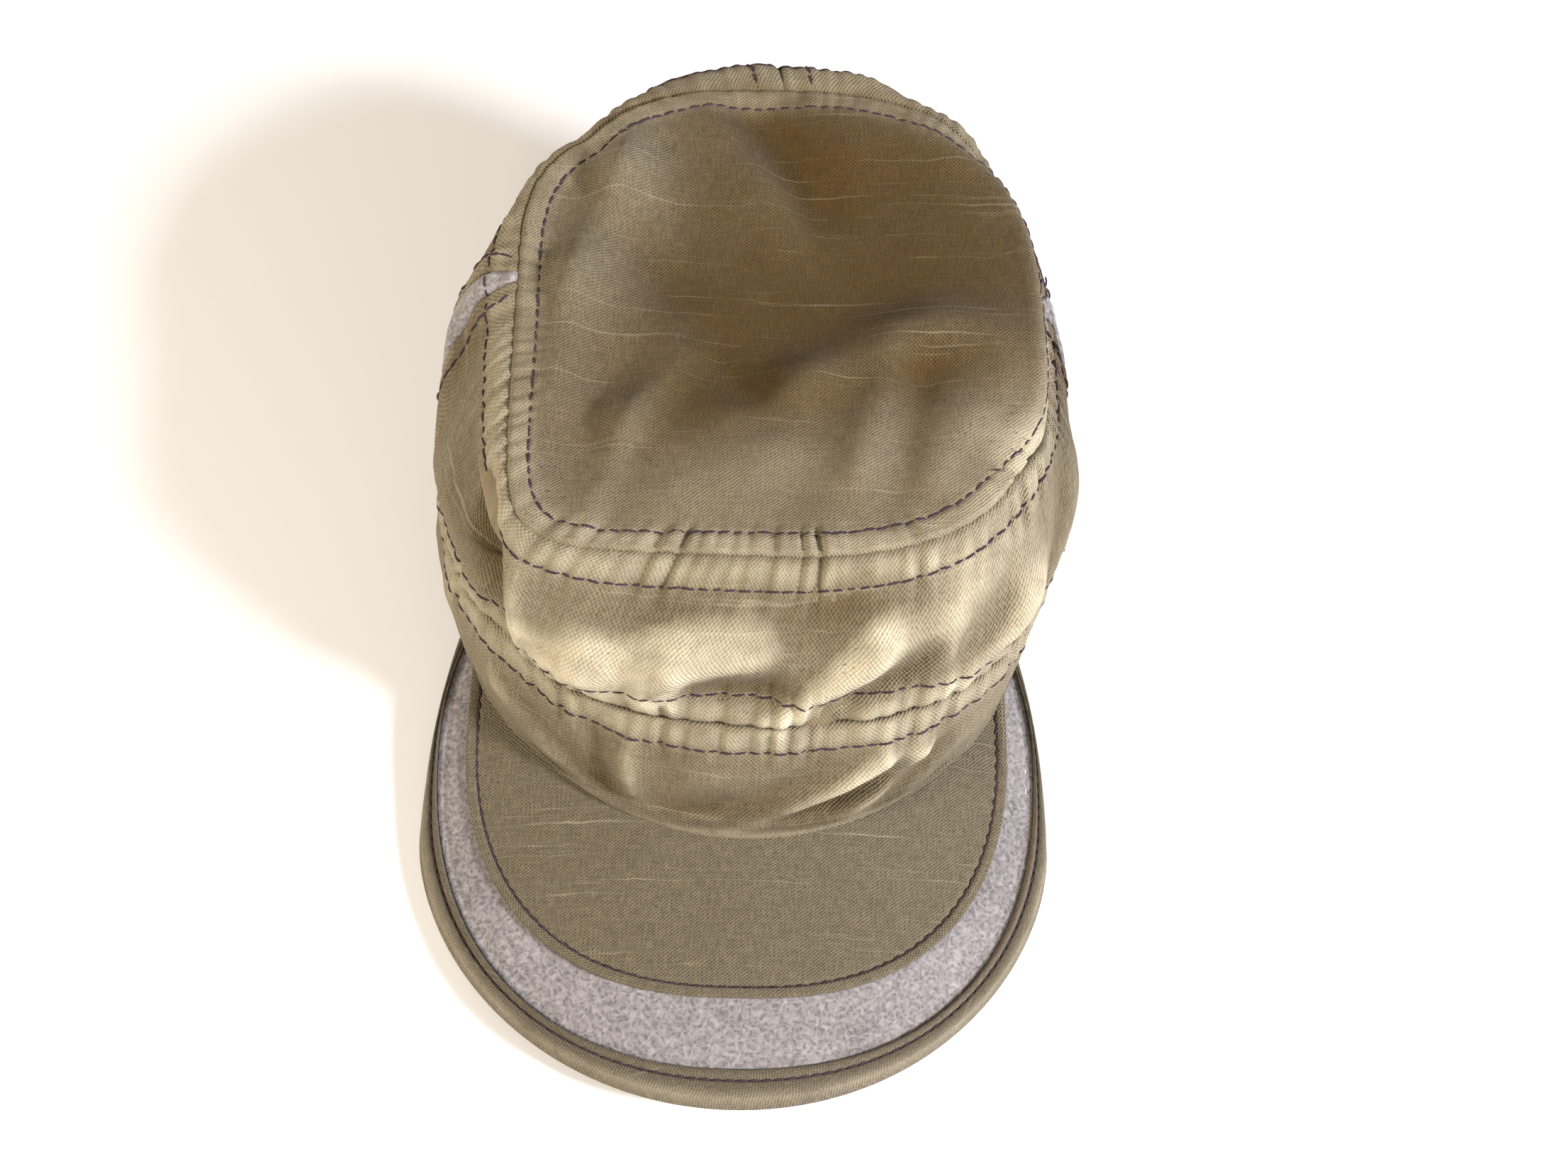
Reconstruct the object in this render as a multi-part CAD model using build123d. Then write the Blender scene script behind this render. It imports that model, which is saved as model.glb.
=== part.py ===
from build123d import *
import os
from math import asin, cos, degrees, pi, radians, sin, sqrt

# A soft peaked field cap, lying empty on a flat surface. Millimetres, +Z up, the visor towards -Y.
# The origin is the centre of the head opening, on the plane that the cap rests on.
# The crown is walls between level lines ("rings"). Each ring is a rounded oval in a plane that tilts
# from front to back, so the walls are ruled surfaces and every panel is cut from one of them.

# Cloth and trim thicknesses
CLOTH = 1.2
TAPE = 0.6
SWEATBAND = 0.8
SEAM_GAP = 0.1

# Crown
RIM_HALF_WIDTH = 88.0
RIM_HALF_LENGTH = 103.0
RIM_FRONT_Z = 19.0
RIM_BACK_Z = -2.3
RIM_FRONT_RUN_ON = 0.35
ROUNDNESS = 2.25
RING_POINTS = 24
DISH_RADIUS = 380.0

# Side inserts: a wedge, narrow at the top seam and wide at the middle seam
INSERT_TOP_FRONT_Y = 39.0
INSERT_BACK_Y = 44.0
INSERT_FOOT_FRONT_Y = 20.0

# Sweatband, between two insets from the outer face of the lower band
SWEATBAND_INSET = 6.4
SWEATBAND_GAP_HALF = 46.0

# Visor
VISOR_ARCH_RADIUS = 300.0
VISOR_SLOPE = 5.0
VISOR_ROOT_Z = 13.6
VISOR_EAR_Y = -42.0
# Lines round the visor, seen from above: half width, reach ahead of the widest place, the Y of the
# widest place, the powers of its superellipse across and along, and how far it draws in at the ear
VISOR_EDGE = (91.0, 78.0, -100.0, 2.03, 1.75, 7.5)
BINDING_LINE = (87.5, 93.0, -76.0, 2.25, 2.3, 7.0)
PANEL_LINE = (78.5, 79.0, -71.0, 2.45, 2.25, 1.0)
UNDER_COVER = 0.8
BOARD = 2.2
TOP_COVER = 0.9
BINDING_WRAP = 0.6
PIPING_START = 2.5

# Back opening and its adjuster
OPENING_HALF_WIDTH = 32.0
OPENING_SPRING_Z = 12.0
OPENING_TOP_Z = 31.5
OPENING_BINDING = 2.4
STRAP_CENTRE_Y = 12.7
STRAP_INNER_RADIUS = 87.0
STRAP_THICKNESS = 1.6
STRAP_LOW_Z = 4.0
STRAP_HIGH_Z = 20.0
STRAP_END_X = 48.0
CLASP_X = -18.0
CLASP_LENGTH = 18.0
CLASP_SHEET = 1.0
PIN_RADIUS = 0.8
PIN_CLEARANCE = 0.05
BARREL_RADIUS = 1.7

FAR = 400.0


class Ring:
    """A level line round the crown: an oval of given centre and half sizes, tilted front to back."""

    def __init__(self, centre_x, centre_y, half_width, half_length, z_front, z_back):
        self.values = (centre_x, centre_y, half_width, half_length, z_front, z_back)

    def point(self, turn, inset=0.0):
        """The point at a turn in degrees, counted from +X, moved inwards by inset."""
        centre_x, centre_y, half_width, half_length, z_front, z_back = self.values
        across = signed_power(cos(radians(turn)), 2 / ROUNDNESS)
        along = signed_power(sin(radians(turn)), 2 / ROUNDNESS)
        z = (z_front + z_back) / 2 + (z_back - z_front) / 2 * along
        return (centre_x + (half_width - inset) * across, centre_y + (half_length - inset) * along, z)

    def face(self, inset=0.0):
        """The flat face inside the ring."""
        turns = [360 * i / RING_POINTS for i in range(RING_POINTS)]
        return make_face(Spline([self.point(turn, inset) for turn in turns], periodic=True))

    def towards(self, other, share):
        """The ring a share of the way to another one. A share under 0 or over 1 goes past an end."""
        pairs = zip(self.values, other.values)
        return Ring(*[a + (b - a) * share for a, b in pairs])


def signed_power(value, exponent):
    return (abs(value) ** exponent) * (1 if value >= 0 else -1)


RIM = Ring(0.0, 0.0, RIM_HALF_WIDTH, RIM_HALF_LENGTH, RIM_FRONT_Z, RIM_BACK_Z)
MIDDLE = Ring(1.5, 12.0, 90.5, 91.0, 41.0, 36.0)
BULGE = Ring(3.5, 27.5, 90.5, 92.5, 58.0, 63.0)
TOP = Ring(8.0, 33.0, 76.0, 76.5, 76.0, 83.0)


def wall(rings, inset, past_ends=0.0):
    """The filled crown between rings, moved inwards by inset, and carried past both end rings."""
    first = rings[0].towards(rings[1], -past_ends)
    last = rings[-1].towards(rings[-2], -past_ends)
    sections = [first] + rings[1:-1] + [last]
    return loft([ring.face(inset) for ring in sections], ruled=True)


def skin(rings, outer_inset, inner_inset):
    """A layer of cloth between two insets of the same wall."""
    return wall(rings, outer_inset) - wall(rings, inner_inset, past_ends=0.1)


def side_prism(points_yz):
    """A prism across the whole cap, whose outline is given in Y and Z."""
    profile = Plane.YZ * Polygon(*points_yz, align=None)
    return extrude(profile, amount=FAR, both=True)


def half_space(low, high):
    """A box from one corner to the other."""
    size = [high[i] - low[i] for i in range(3)]
    centre = [(high[i] + low[i]) / 2 for i in range(3)]
    return Pos(*centre) * Box(*size)


ABOVE_TABLE = half_space((-FAR, -FAR, 0), (FAR, FAR, FAR))
# The centre back seam leans with the crown, from the rim to the top seam.
CENTRE_LEAN = (TOP.values[0] - RIM.values[0]) / TOP.values[5]


def beside_centre_seam(side):
    """Everything on one side of the centre back seam: side is -1 for the left and 1 for the right."""
    gap = side * SEAM_GAP / 2
    low = (gap - CENTRE_LEAN * FAR, -FAR)
    high = (gap + CENTRE_LEAN * FAR, FAR)
    half_plane = Plane.XZ * Polygon(low, high, (side * FAR, FAR), (side * FAR, -FAR), align=None)
    return extrude(half_plane, amount=FAR, both=True)


def side_of_cap(side):
    """Everything to the left (-1) or to the right (1) of X = 0."""
    return half_space((min(0, side * FAR), -FAR, -FAR), (max(0, side * FAR), FAR, FAR))


# ---- Crown

def insert_line(offset):
    """Two points, in Y and Z, on the line that the front edge of the side inserts follows."""
    low_z, high_z = MIDDLE.values[5], TOP.values[4]
    slope = (INSERT_TOP_FRONT_Y - INSERT_FOOT_FRONT_Y) / (high_z - low_z)
    low_y = INSERT_FOOT_FRONT_Y - slope * (low_z + FAR) + offset
    high_y = INSERT_FOOT_FRONT_Y + slope * (FAR - low_z) + offset
    return (low_y, -FAR), (high_y, FAR)


def crown_top_panel():
    """The top panel: an oval of cloth that dishes down, set inside the top of the walls."""
    ring = TOP
    oval = ring.face(CLOTH + SEAM_GAP)
    prism = extrude(oval, amount=30.0, both=True)
    centre_x, centre_y, half_width, half_length, z_front, z_back = ring.values
    lift = sqrt(DISH_RADIUS**2 - ((half_width + half_length) / 2) ** 2)
    tilt = (z_back - z_front) / (2 * half_length)
    centre = Pos(centre_x, centre_y - lift * tilt, (z_front + z_back) / 2 + lift)
    dish = centre * (Sphere(DISH_RADIUS + CLOTH) - Sphere(DISH_RADIUS))
    return prism & dish


def upper_skin():
    return skin([MIDDLE, BULGE, TOP], 0.0, CLOTH)


def front_upper_panel(shell):
    low, high = insert_line(-SEAM_GAP)
    return shell & side_prism([low, high, (-FAR, FAR), (-FAR, -FAR)])


def side_suede_insert(shell, side):
    low, high = insert_line(0.0)
    top_y = min(high[0], INSERT_BACK_Y)
    crossing_z = low[1] + (top_y - low[0]) * (high[1] - low[1]) / (high[0] - low[0])
    wedge = side_prism([low, (top_y, crossing_z), (INSERT_BACK_Y, crossing_z), (INSERT_BACK_Y, -FAR)])
    return shell & wedge & side_of_cap(side)


def back_upper_panel(shell, side):
    behind = half_space((-FAR, INSERT_BACK_Y + SEAM_GAP, -FAR), (FAR, FAR, FAR))
    return shell & behind & beside_centre_seam(side)


def opening_prism(grow):
    """The back opening as a prism: straight sides, then a half ellipse, grown outwards by grow."""
    half = OPENING_HALF_WIDTH + grow
    rise = OPENING_TOP_Z - OPENING_SPRING_Z + grow
    arch = Plane.XZ * Pos(0, OPENING_SPRING_Z) * Ellipse(half, rise)
    legs = Plane.XZ * Pos(0, OPENING_SPRING_Z / 2 - 10) * Rectangle(2 * half, OPENING_SPRING_Z + 20)
    solid = extrude(arch + legs, amount=FAR, both=True)
    return solid & half_space((-FAR, 50, -FAR), (FAR, FAR, FAR))


def front_band_wall():
    """The lower wall carried on downwards, so that it can be trimmed to the visor's top."""
    return skin([RIM.towards(MIDDLE, -RIM_FRONT_RUN_ON), MIDDLE], 0.0, CLOTH)


def front_lower_band():
    ahead = half_space((-FAR, -FAR, -FAR), (FAR, INSERT_FOOT_FRONT_Y, FAR))
    over_visor = visor_prism(outline(VISOR_EDGE, 2.0), 200.0, visor_top_radius() + SEAM_GAP)
    edge = outline(VISOR_EDGE, 2.0) - outline(BINDING_LINE, -1.0)
    over_edge = visor_prism(edge, 200.0, visor_top_radius() + BINDING_WRAP + SEAM_GAP)
    below_rim = wall([RIM.towards(MIDDLE, -2.0), RIM], -10.0)
    behind_ears = half_space((-FAR, VISOR_EAR_Y - 1, -FAR), (FAR, FAR, FAR))
    return ((front_band_wall() & ahead) - over_visor - over_edge) - (below_rim & behind_ears)


def back_lower_band(shell, side):
    behind = half_space((-FAR, INSERT_FOOT_FRONT_Y + SEAM_GAP, -FAR), (FAR, FAR, FAR))
    return (shell & behind & beside_centre_seam(side) & ABOVE_TABLE) - opening_prism(OPENING_BINDING)


def back_opening_binding():
    """The folded strip round the opening: a hoop as thick as the band and a little more."""
    shell = skin([RIM, MIDDLE], -0.5, CLOTH + 0.5)
    hoop = opening_prism(OPENING_BINDING - SEAM_GAP) - opening_prism(0.0)
    return shell & hoop & ABOVE_TABLE


def seam_tape(rings, low_share, high_share, inset):
    """A ring of tape over the seam allowance, inside a wall, between two shares of its height."""
    low = rings[0].towards(rings[1], low_share)
    high = rings[0].towards(rings[1], high_share)
    return skin([low, high], inset, inset + TAPE)


def middle_seam_tape():
    return seam_tape([MIDDLE, BULGE], 0.02, 0.30, CLOTH + SEAM_GAP)


def top_seam_tape():
    return seam_tape([BULGE, TOP], 0.70, 0.92, CLOTH + SEAM_GAP)


def centre_back_seam_tape():
    """A strip inside the centre back seam, between the tapes of the middle seam and the top seam."""
    inset = CLOTH + SEAM_GAP
    shell = skin([MIDDLE.towards(BULGE, 0.32), BULGE, BULGE.towards(TOP, 0.68)], inset, inset + TAPE)
    behind = half_space((-6, 60, -FAR), (14, FAR, FAR))
    return shell & behind


def sweatband():
    low = RIM.towards(MIDDLE, 0.10)
    high = RIM.towards(MIDDLE, 0.76)
    ring = skin([low, high], SWEATBAND_INSET, SWEATBAND_INSET + SWEATBAND)
    gap = half_space((-SWEATBAND_GAP_HALF, 50, -FAR), (SWEATBAND_GAP_HALF, FAR, FAR))
    return (ring - gap) & ABOVE_TABLE


def size_label():
    """A small blank label on the inner face of the sweatband, at the left of the back."""
    low = RIM.towards(MIDDLE, 0.40)
    high = RIM.towards(MIDDLE, 0.85)
    inner = SWEATBAND_INSET + SWEATBAND + 0.1
    patch = half_space((-FAR, 20, -FAR), (0, 45, FAR))
    return skin([low, high], inner, inner + 0.4) & patch


# ---- Visor

def visor_top_radius():
    return VISOR_ARCH_RADIUS + UNDER_COVER + BOARD + TOP_COVER


def front_half(half_width, reach, y_widest, power_across, power_along, count=9):
    """Points from the tip to the widest place, on a quarter of a superellipse."""
    turns = [pi / 2 * (1 - i / (count - 1)) for i in range(count)]
    return [
        (half_width * cos(t) ** (2 / power_across), y_widest - reach * sin(t) ** (2 / power_along))
        for t in turns
    ]


def side_run(half_width, y_widest, taper, count=5):
    """Points from just behind the widest place back to the ear, drawing in by taper."""
    steps = [(i + 1) / count for i in range(count)]
    return [(half_width - taper * s**2, y_widest + (VISOR_EAR_Y - y_widest) * s) for s in steps]


def outline(line, grow=0.0):
    """The flat face inside one of the visor's lines, closed straight across the ears."""
    half_width, reach, y_widest, power_across, power_along, taper = line
    half = half_width + grow
    right = front_half(half, reach + grow, y_widest, power_across, power_along)
    right += side_run(half, y_widest, taper)
    left = [(-x, y) for x, y in reversed(right)]
    curve = Spline([Vector(x, y) for x, y in left + right[1:]])
    return make_face([curve, Line(curve @ 1, curve @ 0)])


def arch(radius):
    """A long cylinder whose top is the visor's arch, sloping down to the front."""
    run = 600.0
    centre = Pos(0, -RIM_HALF_LENGTH, VISOR_ROOT_Z - VISOR_ARCH_RADIUS)
    return centre * Rot(90 + VISOR_SLOPE, 0, 0) * Cylinder(radius, run)


def visor_prism(flat_face, low_radius, high_radius):
    """A layer of the visor: a face seen from above, between two radii of the arch."""
    tall = extrude(flat_face, amount=60.0, both=True)
    return tall & (arch(high_radius) - arch(low_radius)) & half_space((-FAR, -FAR, -60), (FAR, FAR, 60))


def head_prism(inset):
    """What the head opening takes out of the visor's root."""
    flat_rim = Ring(0.0, 0.0, RIM_HALF_WIDTH, RIM_HALF_LENGTH, 0.0, 0.0)
    return extrude(flat_rim.face(inset), amount=80.0, both=True)


def visor_layer(flat_face, low, high):
    """A visor layer between two heights over the underside, ending under the front band."""
    layer = visor_prism(flat_face, VISOR_ARCH_RADIUS + low, VISOR_ARCH_RADIUS + high)
    return layer - head_prism(CLOTH)


def visor_parts():
    core = outline(VISOR_EDGE, -1.4)
    board_top = UNDER_COVER + BOARD
    top = board_top + TOP_COVER
    piping_ring = outline(PANEL_LINE, 1.9) - outline(PANEL_LINE, 0.1)
    piping = visor_layer(piping_ring, board_top, top + 0.5)
    suede_ring = outline(BINDING_LINE, -0.1) - outline(PANEL_LINE, 2.0)
    edge_ring = outline(VISOR_EDGE) - outline(BINDING_LINE)
    wrap_outside = visor_layer(edge_ring, -BINDING_WRAP, top + BINDING_WRAP)
    wrap_inside = visor_prism(core, VISOR_ARCH_RADIUS, VISOR_ARCH_RADIUS + board_top)
    return {
        "visor_under_cover": visor_layer(core, 0.0, UNDER_COVER),
        "visor_board": visor_layer(core, UNDER_COVER, board_top),
        "visor_top_panel": visor_layer(outline(PANEL_LINE), board_top, top),
        "visor_panel_piping": piping - head_prism(-PIPING_START),
        "visor_suede_band": visor_layer(suede_ring, board_top, top - 0.1),
        "visor_edge_binding": (wrap_outside - wrap_inside) & ABOVE_TABLE,
    }


# ---- Adjuster at the back

def arc_sector(low_radius, high_radius, low_x, high_x, low_z, high_z):
    """A strip that curves round the strap's own centre, between two X positions on its mean radius."""
    mean = (low_radius + high_radius) / 2
    start = degrees(asin(low_x / mean))
    end = degrees(asin(high_x / mean))
    tall = high_z - low_z
    tube = Cylinder(high_radius, tall) - Cylinder(low_radius, tall)
    reach = 2 * high_radius
    corners = [(0, 0)]
    for turn in (start, (start + end) / 2, end):
        corners.append((reach * sin(radians(turn)), reach * cos(radians(turn))))
    wedge = extrude(Polygon(*corners, align=None), amount=tall, both=True)
    return Pos(0, STRAP_CENTRE_Y, (low_z + high_z) / 2) * (tube & wedge)


def adjuster_strap():
    outer = STRAP_INNER_RADIUS + STRAP_THICKNESS
    return arc_sector(STRAP_INNER_RADIUS, outer, -STRAP_END_X, STRAP_END_X, STRAP_LOW_Z, STRAP_HIGH_Z)


def at_clasp(solid):
    """Moves a solid from the clasp's own frame: X along the strap, Y outwards from its centre."""
    turn = asin(CLASP_X / (STRAP_INNER_RADIUS + STRAP_THICKNESS / 2))
    return Pos(0, STRAP_CENTRE_Y, 0) * Rot(0, 0, -degrees(turn)) * solid


CLASP_MIDDLE_Z = (STRAP_LOW_Z + STRAP_HIGH_Z) / 2
CLASP_BASE_Y = STRAP_INNER_RADIUS - 1.6
CLASP_INSIDE_HALF = (STRAP_HIGH_Z - STRAP_LOW_Z) / 2 + 0.9
PIN_X = CLASP_LENGTH / 2 - 3.0
PIN_Y = STRAP_INNER_RADIUS + STRAP_THICKNESS + BARREL_RADIUS + 0.9


def clasp_block(low, high):
    """A box in the clasp's own frame, its heights counted from the middle of the strap."""
    lift = CLASP_MIDDLE_Z
    return half_space((low[0], low[1], low[2] + lift), (high[0], high[1], high[2] + lift))


def pin_cylinder(radius, half_height):
    return Pos(PIN_X, PIN_Y, CLASP_MIDDLE_Z) * Cylinder(radius, 2 * half_height)


def clasp_frame():
    """A channel of sheet brass: a base behind the strap and two cheeks that carry the pin."""
    half = CLASP_LENGTH / 2
    cheek = CLASP_INSIDE_HALF + CLASP_SHEET
    top_y = PIN_Y + BARREL_RADIUS
    channel = clasp_block((-half, CLASP_BASE_Y, -cheek), (half, top_y, cheek))
    space = clasp_block(
        (-FAR, CLASP_BASE_Y + CLASP_SHEET, -CLASP_INSIDE_HALF), (FAR, FAR, CLASP_INSIDE_HALF)
    )
    # A notch takes the cheeks down at the end away from the pin.
    notch = clasp_block((-half - 1, CLASP_BASE_Y + 4.4, -FAR), (1.0, FAR, FAR))
    slot = clasp_block((-half + 1.6, CLASP_BASE_Y - 1, -6.5), (-half + 3.4, CLASP_BASE_Y + 2, 6.5))
    return at_clasp(channel - space - notch - slot - pin_cylinder(PIN_RADIUS, cheek + 1))


def clasp_hinge_pin():
    return at_clasp(pin_cylinder(PIN_RADIUS, CLASP_INSIDE_HALF + CLASP_SHEET))


def clasp_lever():
    """A flat brass tongue with a barrel round the pin. Its thumb tab turns up at the free end."""
    half_tall = CLASP_INSIDE_HALF - 0.4
    low_y = PIN_Y - 0.2
    plate = clasp_block((-CLASP_LENGTH / 2 + 1, low_y, -half_tall), (PIN_X, low_y + 1.2, half_tall))
    tab = clasp_block((-CLASP_LENGTH / 2 - 1.4, low_y + 0.8, -5), (-CLASP_LENGTH / 2 + 2.0, low_y + 2.0, 5))
    barrel = pin_cylinder(BARREL_RADIUS, half_tall)
    return at_clasp((plate + tab + barrel) - pin_cylinder(PIN_RADIUS + PIN_CLEARANCE, half_tall + 1))


def clasp_anchor_loop():
    """The cloth loop that holds the clasp: it passes through the slot and is sewn inside the band."""
    low_radius = CLASP_BASE_Y - 1.3
    middle = CLASP_MIDDLE_Z
    return arc_sector(low_radius, low_radius + 1.0, -SWEATBAND_GAP_HALF + 2, -16.0, middle - 6, middle + 6)


def all_parts():
    upper = upper_skin()
    lower = skin([RIM, MIDDLE], 0.0, CLOTH)
    parts = {
        "crown_top_panel": crown_top_panel(),
        "front_upper_panel": front_upper_panel(upper),
        "front_lower_band": front_lower_band(),
        "top_seam_tape": top_seam_tape(),
        "middle_seam_tape": middle_seam_tape(),
        "centre_back_seam_tape": centre_back_seam_tape(),
        "sweatband": sweatband(),
        "size_label": size_label(),
        "back_opening_binding": back_opening_binding(),
        "adjuster_strap": adjuster_strap(),
        "clasp_anchor_loop": clasp_anchor_loop(),
        "clasp_frame": clasp_frame(),
        "clasp_hinge_pin": clasp_hinge_pin(),
        "clasp_lever": clasp_lever(),
    }
    for word, side in (("left", -1), ("right", 1)):
        parts["side_suede_insert_" + word] = side_suede_insert(upper, side)
        parts["back_upper_panel_" + word] = back_upper_panel(upper, side)
        parts["back_lower_band_" + word] = back_lower_band(lower, side)
    parts.update(visor_parts())
    return parts


os.makedirs("parts", exist_ok=True)
for name, solid in all_parts().items():
    export_step(solid, "parts/" + name + ".step")
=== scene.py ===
import math

import bpy
import numpy as np
from mathutils import Matrix, Vector


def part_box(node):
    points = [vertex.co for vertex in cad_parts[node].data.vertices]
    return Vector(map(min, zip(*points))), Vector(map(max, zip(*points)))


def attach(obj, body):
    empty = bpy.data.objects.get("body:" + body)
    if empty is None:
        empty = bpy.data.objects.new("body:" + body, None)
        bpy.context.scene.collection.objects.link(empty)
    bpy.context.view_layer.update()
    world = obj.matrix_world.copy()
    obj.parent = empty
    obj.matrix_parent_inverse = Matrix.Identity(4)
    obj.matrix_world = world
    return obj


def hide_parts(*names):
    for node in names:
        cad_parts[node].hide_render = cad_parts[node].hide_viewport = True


# A soft peaked field cap. Shapes are worked out in millimetres and written to meshes in metres.
# A turn is an angle round the crown in degrees: 0 is +X, 90 is the back and 270 is the visor's side.
# A height share runs up the wall: 0 at the rim, 1 at the middle seam and 2 at the top seam.
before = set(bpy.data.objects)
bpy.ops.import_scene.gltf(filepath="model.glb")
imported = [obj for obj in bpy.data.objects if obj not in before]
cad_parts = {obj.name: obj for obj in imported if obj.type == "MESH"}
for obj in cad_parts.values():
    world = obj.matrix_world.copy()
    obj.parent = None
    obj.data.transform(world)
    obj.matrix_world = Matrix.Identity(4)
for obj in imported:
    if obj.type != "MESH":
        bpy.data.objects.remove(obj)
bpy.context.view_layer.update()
MM = 0.001
rng = np.random.default_rng(7)


def span(axis, *nodes):
    """Lowest and highest millimetre of some CAD nodes along an axis."""
    boxes = [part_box(n) for n in nodes]
    return min(b[0][axis] for b in boxes) / MM, max(b[1][axis] for b in boxes) / MM


def middle_and_half(pair):
    """The middle and the half width of a lowest and a highest value."""
    return (pair[0] + pair[1]) / 2, (pair[1] - pair[0]) / 2


# ---- Sizes, in mm, from the frame
CLOTH = 1.0
top_cx, top_a = middle_and_half(span(0, "crown_top_panel"))
top_cy, top_b = middle_and_half(span(1, "crown_top_panel"))
bulge_cx, bulge_a = middle_and_half(span(0, "back_upper_panel_left", "back_upper_panel_right"))
band_cx, band_a = middle_and_half(span(0, "back_lower_band_left", "back_lower_band_right"))
VISOR_TIP = span(1, "visor_edge_binding")[0]
VISOR_HALF = span(0, "visor_edge_binding")[1]
VISOR_THICK = 3.9   # top cloth, board and under cloth together
VISOR_ARCH = 300.0  # radius of its arch from side to side
VISOR_SLOPE = math.tan(math.radians(5.0))
VISOR_ROOT_Y = -103.0
VISOR_ROOT_Z = 18.5

# Level lines of the crown: height share, middle X, the Y where it is widest, half width, length in
# front and behind, front and back Z, and how square it is at front left, front right, back right and
# back left.
RIM = (0.0, 1.0, -1.5, 88.5, 103.0, 103.0, 19.0, -1.5, 2.02, 2.05, 2.2, 2.2)
LOW = (0.55, 1.2, 2.0, 92.0, 94.0, 102.0, 30.5, 17.0, 2.2, 2.3, 2.2, 2.2)
SEAM = (1.0, band_cx, 4.0, band_a + 1.3, 83.5, 101.0, 41.0, 36.0, 2.2, 2.5, 2.3, 2.1)
BULGE = (1.5, bulge_cx - 0.3, 2.0, bulge_a + 1.9, 68.0, 118.5, 58.0, 63.0, 2.7, 2.6, 2.4, 1.78)
SHOULDER = (1.8, top_cx - 1.5, 18.0, top_a + 8.5, 71.0, 104.5, 70.0, 79.0, 4.6, 2.9, 2.4, 1.95)
TOP = (2.0, top_cx + 0.5, 25.0, top_a + 2.0, 69.0, 86.0, 76.0, 83.0, 7.5, 3.4, 2.8, 2.5)
LEVELS = np.array([RIM, LOW, SEAM, BULGE, SHOULDER, TOP])
ARC = 1.57          # mm of wall for each degree of turn
STOREY = 33.0       # mm of wall between two seams
TOP_STOREY = 35.0   # the same just under the top seam, where the wall leans most
ROW = 6.4           # a stitch row's distance from its seam
PITCH = 4.0         # stitch pitch
SQUARE = 0.96       # distance square to the top seam, for each mm towards the middle of the top


def smooth(x):
    """0 below 0, 1 above 1, and a smooth S between."""
    x = np.clip(x, 0, 1)
    return x * x * (3 - 2 * x)


def level_values(v):
    """The level line's values at height share v: a cubic through the levels, with slopes by difference."""
    knots, table = LEVELS[:, 0], LEVELS[:, 1:]
    slope = np.gradient(table, knots, axis=0)
    v = np.asarray(v, float)
    i = np.clip(np.searchsorted(knots, v) - 1, 0, len(knots) - 2)
    step = (knots[i + 1] - knots[i])[..., None]
    t = ((v - knots[i]) / step[..., 0])[..., None]
    a, b, ma, mb = table[i], table[i + 1], slope[i] * step, slope[i + 1] * step
    from_a = (2 * t**3 - 3 * t**2 + 1) * a + (t**3 - 2 * t**2 + t) * ma
    return from_a + (3 * t**2 - 2 * t**3) * b + (t**3 - t**2) * mb


def corner_power(turn, corners):
    """The power of the oval at a turn in degrees, between those of its four corners."""
    at = np.mod(turn - 45.0, 360.0) / 90.0
    i = np.floor(at).astype(int) % 4
    t = at - np.floor(at)
    order = corners[..., [2, 3, 0, 1]]
    this, following = (np.take_along_axis(order, k[..., None] % 4, -1)[..., 0] for k in (i, i + 1))
    return this * (1 - t) + following * t


def oval_reach(turn, corners):
    """Radius of the unit superellipse at a turn: (|cos|^n + |sin|^n)^(-1/n)."""
    n = corner_power(turn, corners)
    c, s = abs(np.cos(np.radians(turn))), abs(np.sin(np.radians(turn)))
    return (c**n + s**n) ** (-1 / n)


def waves(x, lengths, seed):
    """A sum of sines of the given wavelengths, with seeded phases."""
    phases = np.random.default_rng(seed).uniform(0, 2 * np.pi, len(lengths))
    return sum(np.sin(2 * np.pi * x / w + p) for w, p in zip(lengths, phases)) / math.sqrt(len(lengths))


def ripple(x, y, size, seed, count=9):
    """Smooth random relief: plane waves of about one size in seeded directions."""
    r = np.random.default_rng(seed)
    total = np.zeros(np.broadcast(x, y).shape)
    for _ in range(count):
        angle, wave, phase = r.uniform(0, np.pi), size * r.uniform(0.7, 1.5), r.uniform(0, 2 * np.pi)
        total = total + np.sin(2 * np.pi * (x * np.cos(angle) + y * np.sin(angle)) / wave + phase)
    return total / math.sqrt(count)


def fold(x, y, x0, y0, x1, y1, width, height, skew=0.0):
    """A ridge, or a dent where height is negative, along a segment: a Gaussian of the distance from it,
    wider on its left side where skew is positive, and fading past both ends."""
    dx, dy = x1 - x0, y1 - y0
    long = math.hypot(dx, dy)
    t = ((x - x0) * dx + (y - y0) * dy) / long**2
    side = ((y - y0) * dx - (x - x0) * dy) / long
    past = np.maximum(np.maximum(-t, t - 1), 0) * long
    wide = width * (1 + skew * np.tanh(side / width))
    return height * np.exp(-(side / wide) ** 2 - (past / (1.3 * width)) ** 2)


# ---- Seams
def pucker(s, seed):
    """Short ripples along a seam, strong in some stretches and faint in others."""
    strength = 0.80 + 0.30 * waves(s, (61.0, 37.0, 23.0), seed + 50)
    w = waves(s, (7.3, 5.7, 4.9, 8.9, 12.9), seed)
    return strength * np.tanh(w - 0.3 * (w * w - 0.5)) * 1.1


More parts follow.
